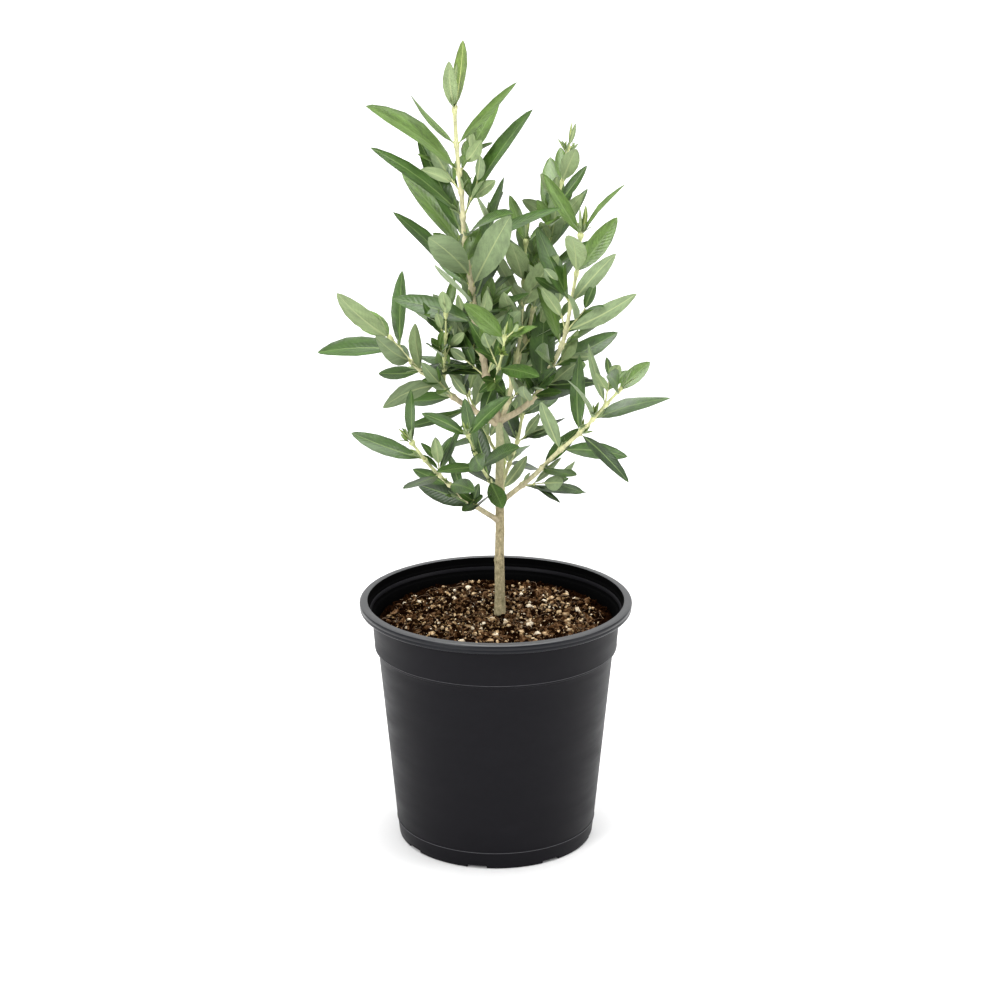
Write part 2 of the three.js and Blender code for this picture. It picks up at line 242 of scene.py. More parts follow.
crown_centre = (0, 0, 0.34)
add_lamp("overhead", (0.1, 0.1, 2.6), crown_centre, 2.2, 85)
add_lamp("front_left", (-1.5, -2.0, 1.7), crown_centre, 1.1, 40)
add_lamp("right", (2.2, -0.5, 1.2), crown_centre, 1.0, 14)
bpy.context.scene.view_settings.view_transform = "Standard"

# %% [markdown]
# ## Helpers for pieces
#
# Operators act on whatever is selected, so everything is deselected before a new piece starts.
# A tube such as the pot or the trunk starts as a flat disc, whose open edge is then pulled up ring
# A piece that is ready gets its finishes, is smooth-shaded, rides on the one body, and
# hides the solids of the frame that it stands for.

# %% Piece helpers
def deselect_all():
    if bpy.context.object and bpy.context.object.mode != "OBJECT":
        bpy.ops.object.mode_set(mode="OBJECT")
    bpy.ops.object.select_all(action="DESELECT")


def make_active(piece):
    deselect_all()
    piece.select_set(True)
    bpy.context.view_layer.objects.active = piece


def start_disc(name, sides, radius, place, turned_over=False):
    """A filled circle, in edit mode, with its open edge selected. The place is in metres. A new
    circle faces up, and one that is turned over faces down, as an underside does."""
    deselect_all()
    bpy.ops.mesh.primitive_circle_add(vertices=sides, radius=radius * MM, fill_type="NGON",
                                      location=place)
    disc = bpy.context.object
    disc.name = name
    bpy.ops.object.transform_apply(location=True)
    bpy.ops.object.mode_set(mode="EDIT")
    if turned_over:
        bpy.ops.mesh.flip_normals()
    bpy.ops.mesh.select_mode(type="EDGE")
    bpy.ops.mesh.select_all(action="DESELECT")
    bpy.ops.mesh.select_non_manifold()
    return disc


def pull_rings(rings):
    """Pulls the selected edge through rings, each one a radius and a height in mm."""
    for (radius, height), (next_radius, next_height) in zip(rings, rings[1:]):
        bpy.ops.mesh.extrude_region_move(
            TRANSFORM_OT_translate={"value": (0, 0, (next_height - height) * MM)})
        bpy.ops.transform.resize(value=(next_radius / radius, next_radius / radius, 1),
                                 center_override=(0, 0, next_height * MM))
    bpy.ops.mesh.edge_face_add()


def face_outwards():
    """Turns all the faces of the piece in edit mode outwards, and leaves edit mode."""
    bpy.ops.mesh.select_all(action="SELECT")
    bpy.ops.mesh.normals_make_consistent(inside=False)
    bpy.ops.object.mode_set(mode="OBJECT")


def settle(piece, finishes, replaced=(), sharp=None):
    """Finishes a piece. Edges sharper than sharp, in degrees, are left hard."""
    for finish in finishes:
        piece.data.materials.append(finish)
    make_active(piece)
    if sharp is None:
        bpy.ops.object.shade_smooth()
    else:
        bpy.ops.object.shade_smooth_by_angle(angle=math.radians(sharp))
    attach(piece, "root")
    if replaced:
        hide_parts(*replaced)
    piece.data.calc_loop_triangles()
    print(piece.name, "triangles:", len(piece.data.loop_triangles))
    return piece


def joined_piece(name, corners, faces, face_finish=None, leaf_uv=None):
    """One mesh from arrays of corners in metres and of faces, for things that are many."""
    mesh = bpy.data.meshes.new(name)
    mesh.from_pydata(corners, [], faces)
    if face_finish is not None:
        mesh.polygons.foreach_set("material_index", np.asarray(face_finish, dtype=np.int32))
    if leaf_uv is not None:
        layer = mesh.uv_layers.new(name="BladeUV")
        order = np.empty(len(mesh.loops), dtype=np.int32)
        mesh.loops.foreach_get("vertex_index", order)
        layer.data.foreach_set("uv", np.asarray(leaf_uv, dtype=np.float32)[order].ravel())
    mesh.update()
    piece = bpy.data.objects.new(name, mesh)
    bpy.context.collection.objects.link(piece)
    return piece


print("piece helpers are ready")

# %% [markdown]
# ## The pot
#
# A nursery pot is moulded in one piece: a thin tapering wall, a collar that lets pots stack, and a
# flat rim that a hand can grip. Every line on it is a ring, so it can be spun from a profile, or
# pulled up from a circle ring by ring. The second way is used, since each ring is then just a
# radius and a height. Rings set close together make the rounded edges and the fine beads that
# catch the light.

# %% Pot rings
POT_SIDES = 144
LOW_LINE, COLLAR_LINE = 12.5, 142.8
rim_top = pot_high.z / MM
rim_out = pot_high.x / MM


def rounded(radius, height, corner, start, end, steps):
    """Rings round a corner: its centre, its radius, and the angles that it runs through."""
    turns = [math.radians(start + (end - start) * i / steps) for i in range(steps + 1)]
    return [(radius + corner * math.cos(t), height + corner * math.sin(t)) for t in turns]


def bead(radius, height, stand=0.35, wide=0.5):
    """Four rings of a thin raised line."""
    return [(radius, height - wide), (radius + stand, height - wide * 0.4),
            (radius + stand, height + wide * 0.4), (radius, height + wide)]


def body_radius(height):
    """The wall widens evenly from the low line up to the collar."""
    return 70.9 + 0.0942 * (height - LOW_LINE)


pot_rings = [(63.9, 1.2), (65.0, 1.0), (65.8, 0.1), (66.4, 0.0)]
pot_rings += rounded(68.0, 1.5, 1.5, -90, -8, 5)
pot_rings += [(body_radius(6) - 0.25, 6)] + bead(body_radius(LOW_LINE) - 0.1, LOW_LINE)
pot_rings += [(body_radius(h), h) for h in (16, 30, 50, 70, 90, 110, 126, 136, 139.8)]
pot_rings += [(83.1, 140.4), (83.5, 140.8), (84.3, 141.0)] + rounded(84.5, 141.9, 0.9, -80, 0, 4)
pot_rings += bead(85.45, COLLAR_LINE, 0.15, 0.3) + [(85.55, 144.5), (86.4, 156), (87.2, 167.0)]
pot_rings += [(87.45, 168.3), (88.15, 169.1), (89.8, 169.4), (93.8, 169.4)]
pot_rings += rounded(94.3, 170.6, 1.2, -90, 0, 4)
pot_rings += [(95.35, 171.5), (95.2, 171.8), (95.2, 172.1), (95.4, 172.4)]
pot_rings += rounded(rim_out - 2.2, rim_top - 2.3, 2.2, 0, 78, 6)
pot_rings += [(92.9, 175.95), (91.6, rim_top)]
pot_rings += rounded(91.0, rim_top - 1.2, 1.2, 90, 180, 4)
pot_rings += [(89.6, 172.2), (89.4, 171.2), (88.8, 170.7), (88.6, 169.8), (88.1, 168.0)]
pot_rings += [(87.8, 167.2), (87.0, 166.8), (86.8, 166.0), (86.5, 164.8), (86.0, 164.4)]
pot_rings += [(85.7, 164.0), (85.3, 160.0), (83.6, 143.0), (83.0, 140.6), (80.6, 136.0)]
pot_rings += [(77.4, 90.0), (72.9, 40.0), (69.3, 3.4), (67.9, 2.4), (60.0, 2.4)]
print("rings on the pot:", len(pot_rings))

# %% Pull the pot up from its foot
pot_wall = start_disc("pot_wall", POT_SIDES, pot_rings[0][0], (0, 0, pot_rings[0][1] * MM),
                      turned_over=True)
pull_rings(pot_rings)
face_outwards()
print("pot is", round(pot_wall.dimensions.x / MM, 1), "mm across the rim")

# %% [markdown]
# Water leaves through slots where the wall meets the foot. One cutter is modelled, a bar with
# rounded corners, and copied round the foot. A Boolean modifier takes them out of the wall.

# %% Drain slots
SLOTS, FIRST_SLOT = 8, 34
SLOT_REACH, SLOT_WIDE, SLOT_HIGH = 68, 14, 4.4

deselect_all()
bpy.ops.mesh.primitive_cube_add(size=1, location=(SLOT_REACH * MM, 0, 0))
cutter = bpy.context.object
cutter.scale = (SLOT_WIDE * MM, SLOT_WIDE * MM, SLOT_HIGH * MM)
bpy.ops.object.transform_apply(location=True, rotation=True, scale=True)
bpy.ops.object.mode_set(mode="EDIT")
bpy.ops.mesh.select_all(action="SELECT")
bpy.ops.mesh.bevel(offset=0.6 * MM, segments=2, affect="EDGES")
bpy.ops.object.mode_set(mode="OBJECT")
for i in range(SLOTS):
    copy = cutter.copy()
    copy.data = cutter.data.copy()
    copy.data.transform(Matrix.Rotation(math.radians(FIRST_SLOT + 360 * i / SLOTS), 4, "Z"))
    bpy.context.collection.objects.link(copy)
    cut = pot_wall.modifiers.new("slot", "BOOLEAN")
    cut.operation = "DIFFERENCE"
    cut.solver = "EXACT"
    cut.object = copy
    make_active(pot_wall)
    bpy.ops.object.modifier_apply(modifier=cut.name)
    bpy.data.objects.remove(copy)
bpy.data.objects.remove(cutter)
print("slots cut:", SLOTS)

# %% [markdown]
# The plastic is charcoal with a faint blue, matt from the mould's fine grain. Scuffs from handling
# run round it, so its roughness changes in flat streaks. Dust and dried compost lie paler on it.
# The flat top of the rim is painted pale, a painted highlight for the light that it catches; its
# outer face is darker. The inside is painted near black and dull, a painted shade for the shadow in
# the pot. Two thin beads are painted pale, as painted highlight lines. Each face gets its finish by
# where it is.

# %% Pot finish
def plastic(name, colour, specular, smooth, dull):
    """Moulded plastic whose roughness runs between smooth and dull."""
    finish = new_finish(name, colour, (smooth + dull) / 2, Specular_IOR_Level=specular)
    mottle(finish, [(0.30, tint(colour, 0.86)), (0.62, colour), (0.85, tint(colour, 1.45))],
           22, detail=5, stretch=(1, 1, 2.2), roughness=0.62)
    vary_roughness(finish, 16, smooth, dull, detail=6, stretch=(1, 1, 5), roughness=0.65)
    grain(finish, 1500, 0.00006, strength=0.35, detail=2)
    return finish


pot_finishes = [plastic("charcoal_wall", (0.0058, 0.0054, 0.0074), 0.09, 0.38, 0.52),
                # The flat top of the rim is painted pale: a painted highlight for the light that it
                # catches.
                plastic("rim_top_painted_highlight", (0.0560, 0.0570, 0.0600), 0.50, 0.32, 0.48),
                plastic("rim_face", (0.0062, 0.0068, 0.0095), 0.22, 0.26, 0.40),
                # The inside is painted near black and dull: painted shade for the shadow inside the pot.
                plastic("shaded_inside", (0.0018, 0.0018, 0.0020), 0.02, 0.80, 0.94),
                # The beads are painted pale: painted highlight lines for the light that they catch.
                plastic("painted_highlight_line", (0.0480, 0.0490, 0.0560), 0.50, 0.30, 0.46)]
WALL, RIM, RIM_FACE, INSIDE, LINE = range(5)
RIM_REACH, RIM_FOOT, POT_FLOOR = 90.0, 169.3, 4


def pot_part(face):
    """The number of the finish that a face of the pot gets."""
    height, reach = face.center.z / MM, math.hypot(face.center.x, face.center.y) / MM
    faces_in = face.normal.x * face.center.x + face.normal.y * face.center.y < 0
    # Painted highlight: the rim's flat top gets the pale finish.
    if height > rim_top - 1.0 and reach > RIM_REACH:
        return RIM
    if height > RIM_FOOT and reach > RIM_REACH:
        return RIM_FACE
    # Painted shade: the faces inside the pot get the near-black finish.
    if height > 170 or (faces_in and height > POT_FLOOR):
        return INSIDE
    # Painted highlight lines: the beads get the pale finish.
    on_bead = abs(height - COLLAR_LINE) < 0.1 or abs(height - LOW_LINE) < 0.18
    return LINE if on_bead and not faces_in else WALL


for face in pot_wall.data.polygons:
    face.material_index = pot_part(face)
settle(pot_wall, pot_finishes, ["pot"], sharp=38)

# %% [markdown]
# ## The compost
#
# Bark compost is not a surface but a heap: a bed with chips, crumbs and grit lying on it at every
# angle. The bed is one disc that rises a little to the trunk and is rumpled by noise. On it lie
# thousands of crumbs. Each is a small rough stone, an icosphere with its corners pushed about,
# turned and stretched its own way, and all of a kind are joined into one mesh.

# %% Compost bed
bed_reach = bed_high.x / MM - 0.4
bed_edge = rim_top - 17.0
bed_crown = bed_high.z / MM - 0.4
trunk_foot = (2.8, 6.0)


def bed_height(x, y):
    """The height of the bed at a place, in mm: hollow at the stem, banked a little at the back."""
    out = min(1.0, math.hypot(x, y) / bed_reach)
    swell = bed_edge + (bed_crown - bed_edge) * math.cos(out * math.pi / 2) ** 0.8
    lumps = 1.5 * noise.noise((x / 17, y / 17, 3.1)) + 1.1 * noise.noise((x / 6, y / 6, 7.7))
    hollow = 2.2 * math.exp(-((math.hypot(x - trunk_foot[0], y - trunk_foot[1]) / 9) ** 2))
    banked = 2.6 * max(0.0, y / bed_reach) ** 2
    return swell - 1.6 + lumps - hollow + banked


bed_rings = [(68, bed_low.z / MM + 0.2), (79, 130), (82.4, 142), (bed_reach, bed_edge - 2)]
bed_rings += [(bed_reach * (1 - i / 34), bed_edge) for i in range(1, 34)]
compost_bed = start_disc("compost_bed", 96, bed_rings[0][0], (0, 0, bed_rings[0][1] * MM))
pull_rings(bed_rings)
bpy.ops.mesh.poke()
face_outwards()
for corner in compost_bed.data.vertices:
    if corner.co.z > (bed_edge - 3) * MM:
        corner.co.z = bed_height(corner.co.x / MM, corner.co.y / MM) * MM
print("bed is", round(bed_reach * 2), "mm across")

# %% Compost finishes
peat = new_finish("dark_peat", (0.014, 0.005, 0.001), 0.9, Specular_IOR_Level=0.01)
mottle(peat, [(0.3, (0.0014, 0.0003, 0.0001)), (0.55, (0.009, 0.0028, 0.0006)),
              (0.8, (0.046, 0.021, 0.008))], 480, detail=5, roughness=0.6)
grain(peat, 900, 0.0008, detail=4)
chip_brown = new_finish("bark_chip", (0.07, 0.032, 0.013), 0.85, Specular_IOR_Level=0.04)
mottle(chip_brown, [(0.3, (0.008, 0.0026, 0.0006)), (0.5, (0.058, 0.025, 0.008)),
                    (0.72, (0.290, 0.175, 0.095))], 520, detail=5, roughness=0.6)
grain(chip_brown, 1000, 0.0008, detail=4)
chip_ochre = new_finish("ochre_shred", (0.16, 0.095, 0.040), 0.85, Specular_IOR_Level=0.04)
mottle(chip_ochre, [(0.3, (0.040, 0.017, 0.004)), (0.5, (0.190, 0.110, 0.045)),
                    (0.72, (0.560, 0.410, 0.220))], 520, detail=5, roughness=0.6)
grain(chip_ochre, 1000, 0.0008, detail=4)
chip_tan = new_finish("tan_crumb", (0.36, 0.24, 0.14), 0.8, Specular_IOR_Level=0.10)
mottle(chip_tan, [(0.3, (0.12, 0.060, 0.022)), (0.5, (0.44, 0.290, 0.150)),
                  (0.7, (0.88, 0.71, 0.47))], 460, detail=4)
grain(chip_tan, 1300, 0.0006, detail=3)
grit_cream = new_finish("cream_grit", (0.80, 0.68, 0.50), 0.75)
mottle(grit_cream, [(0.3, (0.50, 0.37, 0.23)), (0.5, (0.82, 0.69, 0.50)),
                    (0.72, (0.95, 0.88, 0.74))], 420, detail=3)
grain(grit_cream, 1600, 0.0005, detail=3)
settle(compost_bed, [peat], ["potting_compost"])

# %% Crumbs
chance_of_crumbs = random.Random(41)
STONES = 14
CRUMBS_REACH, WALL_SHADE_REACH = 84.0, 83
STEM_CLEAR = 4.6

deselect_all()
bpy.ops.mesh.primitive_ico_sphere_add(subdivisions=1, radius=1)
ball = bpy.context.object
ball_corners = np.array([v.co[:] for v in ball.data.vertices])
ball_faces = np.array([p.vertices[:] for p in ball.data.polygons])
bpy.data.objects.remove(ball)


def rough_stone(luck):
    """A small ball with its corners pushed about."""
    return np.array([c * (1 + luck.uniform(-0.36, 0.36)) for c in ball_corners])


stones = [rough_stone(chance_of_crumbs) for _ in range(STONES)]


def scatter(name, kinds, luck):
    """Crumbs of several kinds in one mesh. A kind is (finish number, how many, least and most
    size in mm, how long, how flat, how high it sits), the last three as shares of its size.
    Pale crumbs grow rare towards the wall, so the compost is darker there: painted shade from the wall."""
    corners, faces, finishes = [], [], []
    for finish, count, least, most, long, flat, sit in kinds:
        for _ in range(count):
            size = least * (most / least) ** (luck.random() ** 1.6) / 2
            reach = CRUMBS_REACH - size
            out = math.sqrt(luck.random()) * reach
            way = luck.uniform(0, 2 * math.pi)
            x, y = out * math.cos(way), out * math.sin(way)
            if math.hypot(x - trunk_foot[0], y - trunk_foot[1]) < STEM_CLEAR + size:
                continue
            # Painted shade: pale crumbs are skipped more often towards the wall.
            if finish > 0 and luck.random() < 1.2 * (out / WALL_SHADE_REACH) ** 5:
                continue
            shape = luck.choice(stones) * (size * luck.uniform(0.8, long),
                                           size * luck.uniform(0.5, 1.0), size * flat)
            turn = Matrix.Rotation(luck.uniform(0, 6.28), 3, "Z")
            turn = turn @ Matrix.Rotation(luck.gauss(0, 0.6), 3, "X")
            turn = turn @ Matrix.Rotation(luck.gauss(0, 0.6), 3, "Y")
            place = (x, y, bed_height(x, y) + sit * size)
            start = len(corners) * len(ball_corners)
            corners.append((shape @ np.array(turn).T + place) * MM)
            faces.append(ball_faces + start)
            finishes += [finish] * len(ball_faces)
    return joined_piece(name, np.concatenate(corners).tolist(),
                        np.concatenate(faces).tolist(), finishes)


CHIP_KINDS = [(0, 3000, 1.0, 5.0, 1.6, 0.6, 0.35), (1, 2300, 0.9, 3.4, 1.9, 0.5, 0.5),
              (1, 550, 2.4, 7.0, 1.7, 0.45, 0.45), (2, 1900, 0.7, 2.4, 2.2, 0.5, 0.7)]
GRIT_KINDS = [(0, 40, 1.0, 2.0, 1.3, 0.8, 0.7), (1, 1100, 0.7, 4.4, 1.4, 0.75, 0.8),
              (2, 420, 0.7, 2.2, 1.3, 0.85, 0.8), (2, 75, 2.8, 5.4, 1.3, 0.8, 0.85)]
chips = scatter("compost_chips", CHIP_KINDS, chance_of_crumbs)
settle(chips, [peat, chip_brown, chip_ochre], sharp=30)
grit = scatter("compost_grit", GRIT_KINDS, chance_of_crumbs)
settle(grit, [peat, chip_tan, grit_cream], sharp=60)

# %% [markdown]
# Coir and root threads hold the heap together. Each is a thin three-sided tube laid in a slack arc
# on the crumbs.

# %% Fibres
def tube(path, radii, sides):
    """Rings of corners round a path, with faces and a closed end at each side. Millimetres."""
    path = [Vector(p) for p in path]
    ahead = (path[1] - path[0]).normalized()
    side = ahead.orthogonal().normalized()
    corners, faces = [], []
    for i, (spot, radius) in enumerate(zip(path, radii)):
        before, after = path[max(0, i - 1)], path[min(len(path) - 1, i + 1)]
        ahead = (after - before).normalized()
        side = (side - ahead * side.dot(ahead)).normalized()
        over = ahead.cross(side)
        for j in range(sides):
            turn = 2 * math.pi * j / sides
            corners.append(spot + (side * math.cos(turn) + over * math.sin(turn)) * radius)
    for i in range(len(path) - 1):
        for j in range(sides):
            a, b = i * sides + j, i * sides + (j + 1) % sides
            faces.append((a, b, b + sides, a + sides))
    faces.append(tuple(range(sides))[::-1])
    last = (len(path) - 1) * sides
    faces.append(tuple(last + j for j in range(sides)))
    return corners, faces


class Heap:
    """Gathers the corners and faces of many small shapes for one joined mesh."""

    def __init__(self):
        self.corners, self.faces, self.finishes, self.marks = [], [], [], []

    def add(self, corners, faces, finish=0, marks=None):
        """Finish is one number or one for each face. Marks are UV places, one for each corner."""
        start = len(self.corners)
        self.corners += [tuple(c) for c in corners]
        self.faces += [tuple(start + i for i in face) for face in faces]
        self.finishes += list(finish) if hasattr(finish, "__len__") else [finish] * len(faces)
        self.marks += list(marks) if marks is not None else [(0.5, 0.5)] * len(corners)

    def piece(self, name):
        scaled = [(x * MM, y * MM, z * MM) for x, y, z in self.corners]
        return joined_piece(name, scaled, self.faces, self.finishes, self.marks)


threads = Heap()
for _ in range(230):
    out, way = math.sqrt(chance_of_crumbs.random()) * 78, chance_of_crumbs.uniform(0, 6.28)
    x, y = out * math.cos(way), out * math.sin(way)
    heading, curl = chance_of_crumbs.uniform(0, 6.28), chance_of_crumbs.gauss(0, 0.25)
    path = []
    for step in range(7):
        lift = 1.0 + 0.7 * math.sin(step * math.pi / 6)
        path.append((x, y, bed_height(x, y) + lift))
        heading += curl
        x, y = x + 1.7 * math.cos(heading), y + 1.7 * math.sin(heading)
        by_stem = math.hypot(x - trunk_foot[0], y - trunk_foot[1]) < STEM_CLEAR
        if math.hypot(x, y) > CRUMBS_REACH - 3 or by_stem:
            break
    if len(path) > 3:
        threads.add(*tube(path, [0.16] * len(path), 3))
fibre = new_finish("coir_fibre", (0.17, 0.10, 0.055), 0.8)
mottle(fibre, [(0.35, (0.09, 0.05, 0.028)), (0.65, (0.24, 0.155, 0.09))], 180)
settle(threads.piece("compost_fibres"), [fibre])

# %% [markdown]
# ## How the plant branches
#
# Each limb is one bend: it leaves its parent rather flat and turns up to the light. So a limb is
# fully told by what it grows on, the point its tip reaches, its bow and its thickness. A young
# stem is never quite true, so a small sway is added, which dies away at both ends.

# %% Limbs
LIMBS = {  # grows on, how far along it, tip, bow, thickness at foot and tip
    "leader": ("trunk", 0.99, (-28, 0, 531), 0.22, 5.4, 2.2),
    "left_bough": ("trunk", 0.975, (-74, 24, 359), 0.12, 4.6, 2.0),
    "right_bough": ("trunk", 1.0, (56.5, -12, 437), 0.36, 4.6, 1.8),
    "second_stem": ("trunk", 0.99, (20.5, 20, 427), 0.30, 3.8, 1.6),
    "rear_stem": ("second_stem", 0.12, (50, 44, 487), 0.06, 3.2, 1.5),
    "lower_left_bough": ("trunk", 0.475, (-57, -25, 296.5), 0.10, 4.0, 1.8),
    "lower_right_bough": ("trunk", 0.57, (84, -35, 337), 0.04, 3.9, 1.8),
    "inner_left_shoot": ("trunk", 0.60, (-19, -46, 308), 0.05, 2.6, 1.3),
    "back_left_shoot": ("trunk", 0.80, (-20, 52, 312), 0.08, 2.6, 1.3),
    "inner_right_shoot": ("trunk", 0.64, (25, 44, 340), 0.20, 2.8, 1.3),
    "rear_bough": ("leader", 0.06, (-18, 66, 400), 0.15, 3.0, 1.4),
    "front_bough": ("leader", 0.14, (6, -48, 376), 0.12, 2.8, 1.4),
    "left_upright": ("left_bough", 0.45, (-34, 4, 380), 0.20, 2.4, 1.2),
    "gap_shoot": ("leader", 0.30, (-5, 26, 440), 0.25, 2.4, 1.2),
    "low_back_shoot": ("trunk", 0.52, (8, 58, 282), 0.10, 2.4, 1.2),
}
UP = Vector((0, 0, 1))


class Limb:
    """A limb's curve and thickness. Points are told by their share of the way to the tip."""

    def __init__(self, foot, tip, bow, thick, thin, phase, sway=0.7):
        self.foot, self.tip, self.thick, self.thin, self.sway = foot, tip, thick, thin, sway
        reach = tip - foot
        level = Vector((reach.x, reach.y, 0))
        self.bend = foot + level * (0.5 + bow) + UP * reach.z * (0.5 - bow)
        self.phase = phase
        spots = [self.true_point(i / 40) for i in range(41)]
        self.length = sum((b - a).length for a, b in zip(spots, spots[1:]))

    def true_point(self, share):
        rest = 1 - share
        return self.foot * rest * rest + self.bend * 2 * rest * share + self.tip * share * share

    def point(self, share):
        share = min(1.0, max(0.0, share))
        wide = self.sway * min(1.0, self.length / 120) * math.sin(math.pi * share)
        turns = self.length / 55
        way = Vector((math.sin(6.28 * turns * share + self.phase),
                      math.cos(5.1 * turns * share + 2 * self.phase), 0))
        return self.true_point(share) + way * wide

    def along(self, share):
        """The way that the limb runs there, without its sway."""
        return (2 * (1 - share) * (self.bend - self.foot) + 2 * share * (self.tip - self.bend)).normalized()

    def radius(self, share):
        return (self.thick + (self.thin - self.thick) * share) / 2


trunk = Limb(Vector((*trunk_foot, bed_high.z / MM)), Vector((2.6, 4.5, 304)), 0, 7.2, 5.2, 0.4, sway=0.25)
limbs = {"trunk": trunk}
for number, (name, (parent, at, tip, bow, thick, thin)) in enumerate(LIMBS.items()):
    limbs[name] = Limb(limbs[parent].point(at), Vector(tip), bow, thick, thin, 1.7 * number)
print("limbs:", {name: round(limb.length) for name, limb in limbs.items()})

# %% [markdown]
# ## Where the leaves stand
#
# An olive sets its leaves in opposite pairs, each pair square to the last one. A spray is a
# stretch of a limb with a few pairs. The turn says which way round the limb the first pair points,
# and the seed lets chance lean, twist and bend the leaves in a way that comes out the same each
# time. The tone says how fresh the spray's green is: 0 for old leaves deep in the crown, 3 for new
# growth.

# %% Sprays
SPRAYS = {  # limb, from, to, pairs, leaf mm, share of that at the last pair, first and last lean,
    # turn, seed, bud, tone
    "crown_top": ("leader", 0.885, 0.955, 2, 58, 0.72, 36, 26, 30, 3, True, 2.0),
    "crown_high": ("leader", 0.66, 0.83, 4, 74, 0.95, 40, 28, 60, 2, False, 1.0),
    "crown_middle": ("leader", 0.47, 0.62, 4, 68, 0.95, 46, 46, 120, 6, False, 1.0),
    "crown_low": ("leader", 0.22, 0.42, 4, 54, 1.0, 50, 50, 120, 2, False, 0.6),
    "second_top": ("second_stem", 0.6, 0.985, 4, 56, 0.55, 46, 30, 120, 6, True, 1.8),
    "second_low": ("second_stem", 0.2, 0.52, 3, 46, 1.0, 50, 46, 0, 6, False, 0.8),
    "rear_top": ("rear_stem", 0.7, 0.97, 4, 54, 0.55, 46, 30, 20, 5, True, 1.6),
    "rear_low": ("rear_stem", 0.3, 0.62, 4, 54, 1.0, 50, 46, 150, 3, False, 1.0),
    "right_top": ("right_bough", 0.66, 0.985, 4, 64, 0.8, 52, 36, 120, 7, True, 1.3),
    "right_low": ("right_bough", 0.25, 0.58, 4, 52, 1.0, 56, 50, 20, 3, False, 0.8),
    "left_tip": ("left_bough", 0.74, 0.985, 3, 52, 1.0, 60, 46, 160, 6, True, 0.9),
    "left_low": ("left_bough", 0.22, 0.64, 4, 46, 1.0, 60, 56, 40, 7, False, 0.8),
    "lower_left_tip": ("lower_left_bough", 0.66, 0.99, 3, 46, 1.0, 60, 42, 60, 4, True, 1.0),
    "lower_left_low": ("lower_left_bough", 0.24, 0.54, 3, 38, 1.0, 60, 56, 160, 5, False, 0.5),
    "lower_right_tip": ("lower_right_bough", 0.64, 0.98, 4, 54, 0.75, 55, 40, 100, 2, True, 1.0),
    "lower_right_low": ("lower_right_bough", 0.18, 0.5, 3, 42, 1.0, 60, 56, 60, 7, False, 0.5),
    "inner_left": ("inner_left_shoot", 0.3, 0.97, 4, 38, 0.9, 60, 40, 60, 6, True, 0.8),
    "back_left": ("back_left_shoot", 0.3, 0.97, 4, 40, 0.9, 60, 40, 60, 5, True, 0.8),
    "inner_right": ("inner_right_shoot", 0.25, 0.97, 5, 44, 0.9, 58, 40, 90, 3, True, 0.6),
    "rear_bough_end": ("rear_bough", 0.3, 0.97, 6, 50, 0.8, 55, 35, 30, 6, True, 1.0),
    "front_bough_end": ("front_bough", 0.35, 0.97, 4, 38, 0.8, 55, 35, 120, 2, True, 1.0),
    "left_upright_end": ("left_upright", 0.3, 0.97, 4, 38, 0.8, 50, 35, 30, 1, True, 1.2),
    "gap_end": ("gap_shoot", 0.35, 0.97, 4, 40, 0.7, 45, 30, 90, 1, True, 1.4),
    "low_back_end": ("low_back_shoot", 0.3, 0.97, 3, 40, 0.9, 60, 40, 30, 4, True, 0.6),
}


def chance(seed, draw):
    """A repeatable number from 0 to 1."""
    value = math.sin(seed * 12.9898 + draw * 78.233) * 43758.5453
    return value - math.floor(value)


def square_to(along):
    """Two directions square to a limb: level with the ground, and over the limb."""
    side = along.cross(UP)
    if side.length < 0.2:
        side = along.cross(Vector((0, 1, 0)))
    side.normalize()
    return side, side.cross(along)


def spray_leaves(name):
    """Each leaf as a dict: its foot, the way its rib and its face point, and its measures."""
    on, start, end, pairs, size, young, first_lean, last_lean, first_turn, seed, bud, tone = \
        SPRAYS[name]
    limb = limbs[on]
    draws = 0

    def vary():
        nonlocal draws
        draws += 1
        return chance(seed, draws) * 2 - 1

    number = list(SPRAYS).index(name)
    leaves = []
    for pair in range(pairs):
        share = pair / (pairs - 1)
        at = min(1.0, start + (end - start) * share + 0.012 * vary())
        foot, along = limb.point(at), limb.along(at)
        side, over = square_to(along)
        for half in range(2):
            turn = math.radians(first_turn + 90 * pair + 180 * half + 25 * vary())
            lean = math.radians(first_lean + (last_lean - first_lean) * share + 16 * vary())
            length = size * (1 + (young - 1) * share) * (1 + 0.22 * vary())
            twist = math.radians(40 * vary())
            droop = 0.18 * vary() + 0.06
            grows = vary() > -0.75
            width = 0.22 * (1 + 0.26 * vary())
            out = side * math.cos(turn) + over * math.sin(turn)
            rib = along * math.cos(lean) + out * math.sin(lean)
            face = along * math.sin(lean) - out * math.cos(lean)
            edge = rib.cross(face)
            face = face * math.cos(twist) + edge * math.sin(twist)
            leaves.append({"foot": foot, "rib": rib, "face": face, "length": length, "droop": droop,
                           "width": width, "grows": grows, "share": share, "limb": on, "at": at,
                           "out": out, "tone": tone + 0.9 * share - 0.3,
                           "seed": number + 37 * draws})
    if bud:
        along = limb.along(1)
        side, over = square_to(along)
        for half in range(2):
            turn = math.radians(first_turn + 90 * pairs + 180 * half)
            out = side * math.cos(turn) + over * math.sin(turn)
            lean = math.radians(10)
            leaves.append({"foot": limb.point(1), "rib": along * math.cos(lean) + out * math.sin(lean),
                           "face": along * math.sin(lean) - out * math.cos(lean), "length": size * 0.3,
                           "droop": 0.05, "width": 0.13 - 0.05 * half, "grows": True, "share": 1.0,
                           "limb": on, "at": 1.0, "out": out, "tone": 3.0,
                           "seed": number + 0.5 * (half + 1)})
    return leaves


